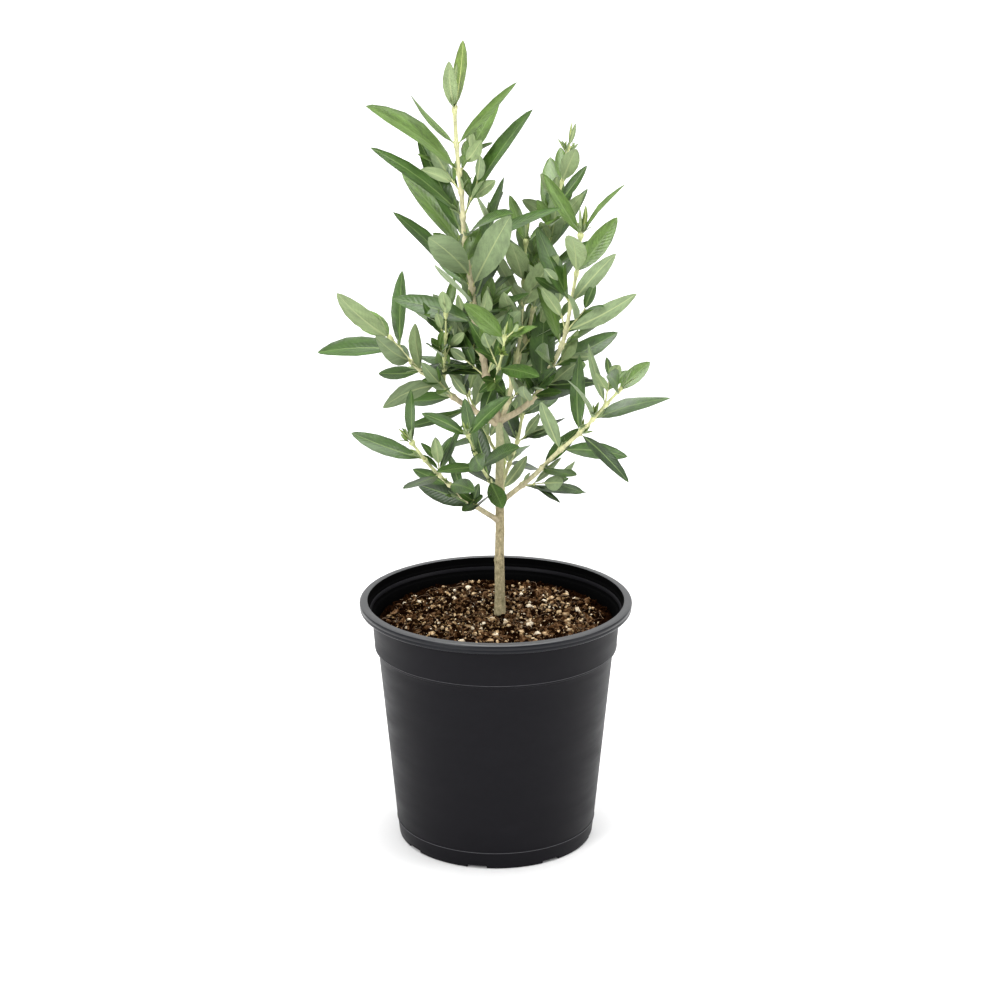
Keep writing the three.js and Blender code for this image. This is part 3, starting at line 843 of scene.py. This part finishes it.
sprays = {name: spray_leaves(name) for name in SPRAYS}
nodes_on = {name: [] for name in limbs}
for leaves in sprays.values():
    for leaf in leaves:
        nodes_on[leaf["limb"]].append(leaf["at"])
print("leaves:", sum(leaf["grows"] for leaves in sprays.values() for leaf in leaves))

# %% [markdown]
# ## Trunk
#
# The trunk is a pencil's thickness, nearly straight, and a little flared where it enters the
# compost. Its bark is still thin, with long shallow cracks, corky dots and the scars of lost
# leaves. It is pulled up from a circle like the pot, and then every corner is moved in or out by
# stretched noise, so that the relief is real and not only painted.

# %% Bark relief
def bark_relief(spot, side, share_old):
    """How far bark stands out at a spot in mm. Old bark is cracked, young bark nearly smooth."""
    cracks = noise.noise((side * 3.1, spot.z / 9, spot.x / 30)) + \
        0.5 * noise.noise((side * 7.3, spot.z / 4, 5.2))
    dots = max(0.0, noise.noise((side * 5.0, spot.z / 1.6, 9.4)) - 0.35)
    return share_old * (0.16 * cracks + 0.5 * dots) + 0.04 * noise.noise((side * 4, spot.z / 2, 1.0))


def node_swell(limb_name, at, length):
    """A stem thickens where a pair of leaves stands."""
    return sum(0.42 * math.exp(-(((at - node) * length / 1.5) ** 2)) for node in nodes_on[limb_name])


print("relief at the middle of the trunk in mm:", round(bark_relief(trunk.point(0.5), 0, 1.0), 2))

# %% Pull the trunk up
TRUNK_SIDES = 28
RING_STEP = 1.3
DEPTH_IN_SOIL = 3
old_scars = [(0.16, 0.8), (0.27, 3.6), (0.40, 5.2), (0.49, 2.0), (0.63, 0.2), (0.72, 4.4), (0.86, 2.9)]

trunk_start = trunk.foot - UP * DEPTH_IN_SOIL
trunk_bark = start_disc("trunk_bark", TRUNK_SIDES, 1, trunk_start * MM, turned_over=True)
trunk_rings = int((trunk.length + DEPTH_IN_SOIL) / RING_STEP)
trunk_rise = (trunk.tip.z - trunk_start.z) / trunk_rings
for ring in range(trunk_rings):
    bpy.ops.mesh.extrude_region_move(TRANSFORM_OT_translate={"value": (0, 0, trunk_rise * MM)})
bpy.ops.mesh.edge_face_add()
face_outwards()

# %% Shape the trunk
for corner in trunk_bark.data.vertices:
    high = corner.co.z / MM
    share = (high - trunk.foot.z) / (trunk.tip.z - trunk.foot.z)
    middle = trunk.point(share)
    way = corner.co / MM - trunk_start
    turn = math.atan2(way.y, way.x)
    flare = 0.5 * math.exp(-(max(0.0, high - trunk.foot.z) / 9) ** 2)
    flare *= 1 + 0.35 * math.cos(3 * turn + 1)
    radius = trunk.radius(max(0.0, share)) + flare + bark_relief(Vector((0, 0, high)), turn / 2, 1.0)
    for scar_share, scar_turn in old_scars:
        near = (turn - scar_turn + math.pi) % (2 * math.pi) - math.pi
        apart = ((share - scar_share) * trunk.length / 1.6) ** 2 + (near * 3 / 1.4) ** 2
        radius += 0.55 * math.exp(-apart)
    if share > 0.97:
        radius *= 1 - 12 * (share - 0.97)
    out = Vector((math.cos(turn), math.sin(turn), 0))
    corner.co = (Vector((middle.x, middle.y, high)) + out * radius) * MM
print("trunk corners:", len(trunk_bark.data.vertices))

# %% [markdown]
# Bark changes along the plant: grey and corky on the trunk, tan and faintly pink on the boughs,
# then yellow-green where the stem is of this year. That change follows the surface, so each corner
# carries its own ripeness, in a UV map, and a colour ramp reads it. Noise then mottles the result.
# The trunk has one age all along, and only pales to green below its fork.

# %% Bark finishes
def age_finish(name, stops, scale, stretch):
    """Colour by ripeness, the first UV coordinate, darkened and paled by noise."""
    finish = new_finish(name, stops[0][1], 0.72)
    tree = finish.node_tree
    ripeness = tree.nodes.new("ShaderNodeUVMap")
    ripeness.uv_map = "BladeUV"
    parts = tree.nodes.new("ShaderNodeSeparateXYZ")
    ramp = add_ramp(finish, stops)
    cloud = add_noise(finish, scale, detail=5, stretch=stretch, roughness=0.6)
    shade = tree.nodes.new("ShaderNodeMapRange")
    shade.inputs["From Min"].default_value = 0.3
    shade.inputs["From Max"].default_value = 0.7
    shade.inputs["To Min"].default_value = 0.68
    shade.inputs["To Max"].default_value = 1.28
    mix = tree.nodes.new("ShaderNodeMix")
    mix.data_type = "RGBA"
    mix.blend_type = "MULTIPLY"
    mix.inputs["Factor"].default_value = 1
    tree.links.new(ripeness.outputs["UV"], parts.inputs["Vector"])
    tree.links.new(parts.outputs["X"], ramp.inputs["Fac"])
    tree.links.new(cloud.outputs["Fac"], shade.inputs["Value"])
    tree.links.new(ramp.outputs["Color"], mix.inputs[6])
    tree.links.new(shade.outputs["Result"], mix.inputs[7])
    tree.links.new(mix.outputs[2], tree.nodes["Principled BSDF"].inputs["Base Color"])
    grain(finish, 1400, 0.00025, detail=4, stretch=(1, 1, 0.35))
    return finish


def paler_above(finish, low, high, colour):
    """Mixes another colour over the base colour as the height goes from low to high, in mm."""
    tree = finish.node_tree
    place = tree.nodes.new("ShaderNodeTexCoord")
    parts = tree.nodes.new("ShaderNodeSeparateXYZ")
    share = tree.nodes.new("ShaderNodeMapRange")
    share.inputs["From Min"].default_value = low * MM
    share.inputs["From Max"].default_value = high * MM
    share.inputs["To Max"].default_value = 0.6
    mix = tree.nodes.new("ShaderNodeMix")
    mix.data_type = "RGBA"
    mix.inputs[7].default_value = (*colour, 1)
    base = tree.nodes["Principled BSDF"].inputs["Base Color"]
    tree.links.new(base.links[0].from_socket, mix.inputs[6])
    tree.links.new(place.outputs["Object"], parts.inputs["Vector"])
    tree.links.new(parts.outputs["Z"], share.inputs["Value"])
    tree.links.new(share.outputs["Result"], mix.inputs["Factor"])
    tree.links.new(mix.outputs[2], base)


bough_skin = age_finish("bough_bark", [(0.0, (0.56, 0.60, 0.27)), (0.35, (0.66, 0.63, 0.37)),
                                       (0.62, (0.52, 0.44, 0.29)), (1.0, (0.33, 0.275, 0.175))],
                        420, (1, 1, 0.4))
old_bark = new_finish("trunk_bark", (0.36, 0.32, 0.20), 0.8, Specular_IOR_Level=0.25)
mottle(old_bark, [(0.30, (0.115, 0.100, 0.050)), (0.43, (0.330, 0.285, 0.165)),
                  (0.58, (0.46, 0.390, 0.235)), (0.72, (0.78, 0.63, 0.380))],
       520, detail=6, stretch=(1, 1, 0.7), roughness=0.7)
paler_above(old_bark, 240, 285, (0.42, 0.47, 0.27))
grain(old_bark, 1300, 0.0004, sunk=True, detail=5, stretch=(1, 1, 0.6))
settle(trunk_bark, [old_bark], ["trunk"])

# %% [markdown]
# ## Boughs
#
# Every bough starts thin inside its parent, with a collar that widens it where it comes out, as a
# branch has. It thins along its length and swells at each pair of leaves. There are fifteen, so
# they are made from arrays by one function, as rings along the limb's curve.

# %% Boughs
BOUGH_SIDES = 14


def limb_skin(name):
    """Corners, faces and ripeness of one limb. Its tip closes in a point."""
    limb = limbs[name]
    rings = max(12, int(limb.length / RING_STEP))
    side = None
    corners, faces, marks = [], [], []
    for ring in range(rings + 1):
        share = ring / rings
        middle, along = limb.point(share), (limb.point(share + 0.004) - limb.point(share - 0.004))
        along.normalize()
        if side is None:
            side = square_to(along)[0]
        side = (side - along * side.dot(along)).normalized()
        over = along.cross(side)
        gone = share * limb.length
        radius = limb.radius(share) + 0.9 * math.exp(-((gone / 4.5) ** 2)) + \
            node_swell(name, share, limb.length)
        radius *= min(1.0, 0.35 + gone / 3.6)
        ripe = min(1.0, max(0.0, (limb.radius(share) - 0.85) / 1.8))
        for j in range(BOUGH_SIDES):
            turn = 2 * math.pi * j / BOUGH_SIDES
            rough = bark_relief(Vector((limb.phase, 0, gone)), math.cos(turn) * 0.8 + limb.phase,
                                0.7 * ripe)
            out = side * math.cos(turn) + over * math.sin(turn)
            corners.append(middle + out * (radius + rough))
            marks.append((ripe, j / BOUGH_SIDES))
    for ring in range(rings):
        for j in range(BOUGH_SIDES):
            a, b = ring * BOUGH_SIDES + j, ring * BOUGH_SIDES + (j + 1) % BOUGH_SIDES
            faces.append((a, b, b + BOUGH_SIDES, a + BOUGH_SIDES))
    faces.append(tuple(range(BOUGH_SIDES))[::-1])
    last = rings * BOUGH_SIDES
    corners.append(limb.point(1) + limb.along(1) * limb.thin * 0.5)
    marks.append((0, 0))
    faces += [(last + j, last + (j + 1) % BOUGH_SIDES, len(corners) - 1) for j in range(BOUGH_SIDES)]
    return corners, faces, marks


boughs = Heap()
for name in LIMBS:
    corners, faces, marks = limb_skin(name)
    boughs.add(corners, faces, 0, marks)
limb_solids = [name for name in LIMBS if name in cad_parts]
settle(boughs.piece("bough_bark"), [bough_skin], limb_solids)

# %% [markdown]
# ## Leaf finishes
#
# An olive leaf is leathery and a little glossy above, and covered in pale scales below. The rib is
# a groove above and a ridge below. These could be painted pictures. Plain finishes are used, each
# with a mottling that is drawn out into streaks along the leaf, since its noise also follows the
# blade's own UV map. The feathery side veins and the thick margins are a bump on the same map. Four
# greens, from old to new, are dealt out to the leaves by their spray.

# %% Streaks, veins and margins
STREAK_DRAW = (0.035, 0.022, 0)
THICK_MARGIN = 0.0016
VEIN_DEPTH = 0.00006
VEIN_BEAT = 95
VEIN_SLANT = -0.16


def add_math(tree, operation, first, number=None, third=None):
    """A Math node that works on a socket, a plain number and perhaps a third socket."""
    node = tree.nodes.new("ShaderNodeMath")
    node.operation = operation
    tree.links.new(first, node.inputs[0])
    if number is not None:
        node.inputs[1].default_value = number
    if third is not None:
        tree.links.new(third, node.inputs[2])
    return node.outputs[0]


def draw_out(tree, cloud, leaf_map):
    """Adds a little of the blade's own UV to the place that the noise reads."""
    streaks = tree.nodes.new("ShaderNodeVectorMath")
    streaks.operation = "MULTIPLY_ADD"
    streaks.inputs[1].default_value = STREAK_DRAW
    place = cloud.inputs["Vector"].links[0].from_socket
    tree.links.new(leaf_map.outputs["UV"], streaks.inputs[0])
    tree.links.new(place, streaks.inputs[2])
    tree.links.new(streaks.outputs[0], cloud.inputs["Vector"])


def add_veins(tree, leaf_map):
    """A bump of slanting side veins, with margins that stand up. Along the leaf is U, and V is 0 on
    the rib and 1 or -1 at a margin. The bump is inverted, so what is low here stands out."""
    parts = tree.nodes.new("ShaderNodeSeparateXYZ")
    tree.links.new(leaf_map.outputs["UV"], parts.inputs["Vector"])
    off_rib = add_math(tree, "ABSOLUTE", parts.outputs["Y"])
    slant = add_math(tree, "MULTIPLY_ADD", off_rib, VEIN_SLANT, parts.outputs["X"])
    wave = add_math(tree, "SINE", add_math(tree, "MULTIPLY", slant, VEIN_BEAT))
    near_margin = add_math(tree, "POWER", off_rib, 3.0)
    relief = add_math(tree, "MULTIPLY_ADD", near_margin, -THICK_MARGIN / VEIN_DEPTH, wave)
    veins = tree.nodes.new("ShaderNodeBump")
    veins.inputs["Distance"].default_value = VEIN_DEPTH
    veins.inputs["Strength"].default_value = 0.5
    veins.invert = True
    tree.links.new(relief, veins.inputs["Height"])
    return veins


print("vein depth in mm:", VEIN_DEPTH / MM)

# %% Leaf finishes
def blade_finish(name, colour, roughness, mottling, **sockets):
    finish = new_finish(name, colour, roughness, **sockets)
    stops = [(0.32, tint(colour, 1 - mottling)), (0.68, tint(colour, 1 + mottling))]
    cloud = mottle(finish, stops, 75, detail=8, roughness=0.78)
    tree = finish.node_tree
    leaf_map = tree.nodes.new("ShaderNodeUVMap")
    leaf_map.uv_map = "BladeUV"
    draw_out(tree, cloud, leaf_map)
    veins = add_veins(tree, leaf_map)
    pores = grain(finish, 210, 0.0007, strength=0.4, sunk=True, detail=6, roughness=0.6)
    tree.links.new(veins.outputs["Normal"], pores.inputs["Normal"])
    return finish


GREENS = [("leaf_deep", (0.021, 0.048, 0.008)), ("leaf_mid", (0.046, 0.100, 0.015)),
          ("leaf_fresh", (0.090, 0.160, 0.029)), ("leaf_new", (0.170, 0.255, 0.050))]
leaf_finishes = [blade_finish(name, colour, 0.36, 0.55) for name, colour in GREENS]
leaf_finishes += [
    blade_finish("leaf_under_old", (0.226, 0.305, 0.148), 0.56, 0.34, Sheen_Weight=0.10),
    blade_finish("leaf_under_new", (0.272, 0.360, 0.160), 0.54, 0.34, Sheen_Weight=0.10),
    new_finish("rib_above", (0.130, 0.205, 0.055), 0.5),
    new_finish("rib_below", (0.400, 0.470, 0.225), 0.6),
    new_finish("leaf_stalk", (0.480, 0.520, 0.200), 0.55)]
UNDER_OLD, UNDER_NEW, RIB_ABOVE, RIB_BELOW, STALK = range(4, 9)
print("leaf finishes:", [finish.name for finish in leaf_finishes])

# %% [markdown]
# ## A leaf
#
# A leaf could be a flat card, but its edge would vanish from the side and both faces would be the
# same. This one is a thin closed blade of a few dozen faces, since there are hundreds of them. Six
# corners go round it at each of ten stations: two on the margins, two beside the rib above and
# two beside it below, so that the rib is a strip of its own. The first stations are the stalk.
# Chance folds the blade along its rib, waves its margins and twists it.

# %% Leaf shape
STATIONS = (0, 0.07, 0.11, 0.18, 0.31, 0.48, 0.66, 0.83, 0.95, 1.0)
BLADE_SIDES = ("above", "rib_above", "above", "below", "rib_below", "below")
ROUND = len(BLADE_SIDES)
STALK_ENDS = 0.08
LEAF_FULLNESS = 1.27
LIGHT = Vector((-0.2, -0.75, 0.6)).normalized()
LIGHT_SEEKING = 0.40


def outline(share):
    """Half width of the blade as a share of its widest, from stalk to tip."""
    past = max(0.0, min(1.0, (share - STALK_ENDS) / (1 - STALK_ENDS)))
    return math.sin(math.pi * past ** 0.92) ** 0.68 if 0 < past < 1 else 0.0


def turn_to_light(rib, face, edge):
    """The angle that a blade rolls on its stalk, to turn its nearer face towards the light."""
    ahead, aside = LIGHT.dot(face), LIGHT.dot(edge)
    if ahead < 0:
        ahead, aside = -ahead, -aside
    return -LIGHT_SEEKING * math.atan2(aside, ahead)


def leaf_shape(leaf):
    """Corners of a leaf, station by station, and where each one lies on the blade."""
    luck = random.Random(leaf["seed"])
    fold, roll = luck.uniform(0.06, 0.42), luck.uniform(0.02, 0.24)
    wave, wave_start = luck.uniform(0.0, 0.07), luck.uniform(0, 6.28)
    twist, hook = luck.gauss(0, 0.28), luck.gauss(0, 0.02)
    length, half_wide = leaf["length"], leaf["length"] * leaf["width"] * LEAF_FULLNESS / 2
    half_wide *= (46 / max(length, 32)) ** 0.5
    rib, face = leaf["rib"], leaf["face"]
    edge = rib.cross(face)
    to_light = turn_to_light(rib, face, edge)
    corners, marks = [], []
    for share in STATIONS:
        middle = leaf["foot"] + rib * (length * share)
        middle -= face * (leaf["droop"] * length * share * share)
        middle += edge * (hook * length * math.sin(math.pi * share))
        along = (rib - face * (2 * leaf["droop"] * share)).normalized()
        up = edge.cross(along)
        angle = twist * (share - 0.2) + to_light * min(1.0, share / 0.15)
        across = edge * math.cos(angle) + up * math.sin(angle)
        up = up * math.cos(angle) - edge * math.sin(angle)
        half = max(half_wide * outline(share), 0.10)
        blend = min(1.0, max(0.0, (share - 0.04) / 0.06))
        rib_place = min(0.34, (0.10 + 0.62 * (1 - share)) / half)
        thick = 0.16 * min(1.0, half)
        margin = half * (fold - roll + wave * math.sin(11 * share + wave_start))
        groove, ridge = thick - 0.16 * blend * min(1, half / 2), 0.40 * (1.1 - share)
        stalk = 0.62 - 1.2 * share
        places = (-1, -rib_place, rib_place, 1, rib_place, -rib_place)
        lifts = (margin, groove, groove, margin, -thick - ridge, -thick - ridge)
        for j, (place, lift) in enumerate(zip(places, lifts)):
            blade = across * (place * half) + up * lift
            turn = math.pi - 2 * math.pi * j / ROUND
            round_stalk = (across * math.cos(turn) + up * math.sin(turn)) * stalk
            corners.append(middle + round_stalk.lerp(blade, blend))
            marks.append((share, place))
    return corners, marks


def leaf_faces(tone_number, new):
    """Faces of a leaf and their finishes. A bent quad folds along the diagonal from its first
    corner. Beside a margin that corner is the margin's, above and below alike, or the upper side
    would fold through the lower one."""
    faces, finishes = [], []
    for station in range(len(STATIONS) - 1):
        for j in range(ROUND):
            a, b = station * ROUND + j, station * ROUND + (j + 1) % ROUND
            ends_at_margin = j in (2, 5)
            faces.append((b, b + ROUND, a + ROUND, a) if ends_at_margin else
                         (a, b, b + ROUND, a + ROUND))
            if station == 0:
                finishes.append(STALK)
            else:
                finishes.append({"above": tone_number, "below": UNDER_NEW if new else UNDER_OLD,
                                 "rib_above": RIB_ABOVE if tone_number < 3 else STALK,
                                 "rib_below": RIB_BELOW}[BLADE_SIDES[j]])
    faces.append(tuple(range(ROUND))[::-1])
    last = (len(STATIONS) - 1) * ROUND
    faces.append(tuple(last + j for j in range(ROUND)))
    finishes += [STALK, tone_number]
    return faces, finishes


def tone_of(leaf):
    """The number of the green that a leaf gets, near the tone of its spray."""
    shift = 0.45 * (2 * chance(leaf["seed"], 5) - 1)
    return int(min(3, max(0, round(leaf["tone"] + shift))))


print("corners in a leaf:", len(STATIONS) * ROUND)

# %% [markdown]
# In the angle above every leaf stalk sits a bud. Some have already grown into a short shoot, with a
# thin twig and a few half-grown leaves, more often low on a limb than near its tip. They fill the
# crown near the limbs. Their leaves are told in the same way as the others and join the same spray.

# %% Short shoots
SHORT_SHOOTS = 0.46
shoot_twigs = []
shoot_axils = set()


def short_shoot(leaf, luck):
    """The leaves of a shoot from the angle of a leaf. Its twig is noted for later."""
    limb, at = limbs[leaf["limb"]], leaf["at"]
    heading = (limb.along(at) + leaf["out"] * luck.uniform(0.45, 1.1)).normalized()
    foot = leaf["foot"] + leaf["out"] * limb.radius(at) * 0.5
    length = min(26, leaf["length"] * luck.uniform(0.25, 0.5))
    shoot_twigs.append((foot, heading, length))
    side, over = square_to(heading)
    start, leaves = luck.uniform(0, math.pi), []
    pairs = luck.choice((2, 2, 3))
    for pair in range(pairs):
        share = (pair + 1) / pairs
        for half in range(2):
            turn = start + math.pi * (pair / 2 + half) + luck.gauss(0, 0.2)
            out = side * math.cos(turn) + over * math.sin(turn)
            lean = math.radians(luck.uniform(24, 52) * (1.2 - 0.5 * share))
            size = min(40 - 20 * at, leaf["length"] * luck.uniform(0.42, 0.72))
            size *= 1.1 - 0.35 * share
            leaves.append({"foot": foot + heading * (length * share * 0.95),
                           "rib": heading * math.cos(lean) + out * math.sin(lean),
                           "face": heading * math.sin(lean) - out * math.cos(lean),
                           "length": size, "droop": luck.uniform(0, 0.14),
                           "width": luck.uniform(0.22, 0.32), "grows": True,
                           "tone": leaf["tone"] + 0.5, "seed": leaf["seed"] * 7 + pair * 2 + half + 0.5})
    return leaves


for name, leaves in sprays.items():
    for leaf in list(leaves):
        luck = random.Random(leaf["seed"] * 5 + 3)
        if leaf["at"] < 0.97 and luck.random() < SHORT_SHOOTS * (1.10 - leaf["at"]):
            leaves += short_shoot(leaf, luck)
            shoot_axils.add(leaf["seed"])
print("short shoots:", len(shoot_twigs))

# %% [markdown]
# The leaves of neighbouring sprays are joined into one piece for each part of the crown. Each
# piece stands for the closed masses of foliage that the frame has there.

# %% Leaves
CROWN_PARTS = {
    "leaves_crown": ["crown_top", "crown_high", "crown_middle", "crown_low"],
    "leaves_second_stem": ["second_top", "second_low"],
    "leaves_rear_stem": ["rear_top", "rear_low"],
    "leaves_right_bough": ["right_top", "right_low"],
    "leaves_left_bough": ["left_tip", "left_low", "left_upright_end"],
    "leaves_lower_left": ["lower_left_tip", "lower_left_low"],
    "leaves_lower_right": ["lower_right_tip", "lower_right_low"],
    "leaves_inside": ["inner_left", "back_left", "inner_right", "low_back_end", "gap_end"],
    "leaves_front_and_rear": ["rear_bough_end", "front_bough_end"],
}
for piece_name, spray_names in CROWN_PARTS.items():
    heap = Heap()
    for spray in spray_names:
        for leaf in sprays[spray]:
            if leaf["grows"]:
                corners, marks = leaf_shape(leaf)
                tone_number = tone_of(leaf)
                faces, finishes = leaf_faces(tone_number, tone_number >= 2)
                heap.add(corners, faces, finishes, marks)
    settle(heap.piece(piece_name), leaf_finishes, [f"foliage_{s}" for s in spray_names],
           sharp=75)

# %% [markdown]
# ## Tufts and buds
#
# The other buds have mostly opened into a tuft of tiny yellow-green leaves that hugs the stem, and
# a few still sleep. The tufts make the stems look knobbly and fresh, so the same branching rule is
# used once more at a small scale.

# %% Tufts and buds
def small_leaf(heap, foot, rib, face, length, width, tone_number):
    """A small blade: a diamond section at seven stations."""
    edge = rib.cross(face).normalized()
    face = edge.cross(rib).normalized()
    corners, marks, faces, finishes = [], [], [], []
    stations = [0, 0.14, 0.32, 0.52, 0.72, 0.9, 1.0]
    for share in stations:
        middle = foot + rib * (length * share) - face * (0.10 * length * share * share)
        half = max(0.12, length * width / 2 * math.sin(math.pi * min(0.985, share * 0.94 + 0.05)) ** 0.8)
        lift = half * 0.28
        corners += [middle - edge * half + face * lift, middle + face * 0.08,
                    middle + edge * half + face * lift, middle - face * 0.22]
        marks += [(share, -1), (share, 0), (share, 1), (share, 0)]
    for station in range(len(stations) - 1):
        for j in range(4):
            a, b = station * 4 + j, station * 4 + (j + 1) % 4
            faces.append((a, b, b + 4, a + 4))
            finishes.append(tone_number if j < 2 else UNDER_NEW)
    faces += [(3, 2, 1, 0), (24, 25, 26, 27)]
    finishes += [STALK, tone_number]
    heap.add(corners, faces, finishes, marks)


def bud(heap, foot, along, length):
    """A pointed bud: three rings of five corners and a tip."""
    side, over = square_to(along)
    corners, faces = [], []
    for share, wide in ((0, 0.26), (0.35, 0.36), (0.75, 0.2)):
        for j in range(5):
            turn = 2 * math.pi * j / 5
            out = side * math.cos(turn) + over * math.sin(turn)
            corners.append(foot + along * (length * share) + out * (length * wide))
    corners.append(foot + along * length)
    for ring in range(2):
        for j in range(5):
            a, b = ring * 5 + j, ring * 5 + (j + 1) % 5
            faces.append((a, a + 5, b + 5, b))
    faces += [(10 + (j + 1) % 5, 10 + j, 15) for j in range(5)] + [(0, 1, 2, 3, 4)]
    heap.add(corners, faces)


small_leaves, twigs, buds = Heap(), Heap(), Heap()


def thin_twig(foot, along, length, thick=0.62):
    """A straight twig that thins a little. All of it is young, so its ripeness is low."""
    path = [foot + along * (length * i / 5) for i in range(6)]
    corners, faces = tube(path, [thick * (1 - 0.07 * i) for i in range(6)], 6)
    twigs.add(corners, faces, 0, [(0.12, 0.5)] * len(corners))


def tuft(foot, along, length, pairs, leaf_length, luck, tone_number):
    """A very short twig with pairs of small leaves."""
    thin_twig(foot, along, length)
    side, over = square_to(along)
    start = luck.uniform(0, math.pi)
    for pair in range(pairs):
        share = (pair + 1) / pairs
        for half in range(2):
            turn = start + math.pi * (pair / 2 + half) + luck.gauss(0, 0.2)
            out = side * math.cos(turn) + over * math.sin(turn)
            lean = math.radians(luck.uniform(14, 34) * (1.15 - 0.5 * share))
            rib = along * math.cos(lean) + out * math.sin(lean)
            face = along * math.sin(lean) - out * math.cos(lean)
            small_leaf(small_leaves, foot + along * (length * share * 0.96), rib, face,
                       leaf_length * luck.uniform(0.7, 1.15) * (1.1 - 0.35 * share),
                       luck.uniform(0.24, 0.34), tone_number)


for foot, heading, length in shoot_twigs:
    thin_twig(foot, heading, length)
for name, leaves in sprays.items():
    for leaf in leaves:
        if leaf.get("at", 1) >= 1 or leaf["seed"] in shoot_axils:
            continue
        luck = random.Random(leaf["seed"] * 3 + 11)
        limb, at = limbs[leaf["limb"]], leaf["at"]
        along = limb.along(at)
        heading = (along + leaf["out"] * luck.uniform(0.15, 0.55)).normalized()
        foot = leaf["foot"] + leaf["out"] * limb.radius(at) * 0.8 + along * 0.6
        if luck.random() < 0.12:
            bud(buds, foot, heading, luck.uniform(1.8, 3.2))
        else:
            tuft(foot, heading, luck.uniform(1.5, 4.5), luck.choice((1, 2, 2, 3)),
                 luck.uniform(5, 12.5), luck, luck.choice((2, 3, 3, 3)))
settle(small_leaves.piece("young_leaves"), leaf_finishes)
settle(twigs.piece("side_twigs"), [bough_skin])
bud_finish = new_finish("bud_scale", (0.42, 0.40, 0.17), 0.6)
mottle(bud_finish, [(0.3, (0.30, 0.27, 0.11)), (0.7, (0.50, 0.50, 0.22))], 400)
settle(buds.piece("buds"), [bud_finish])
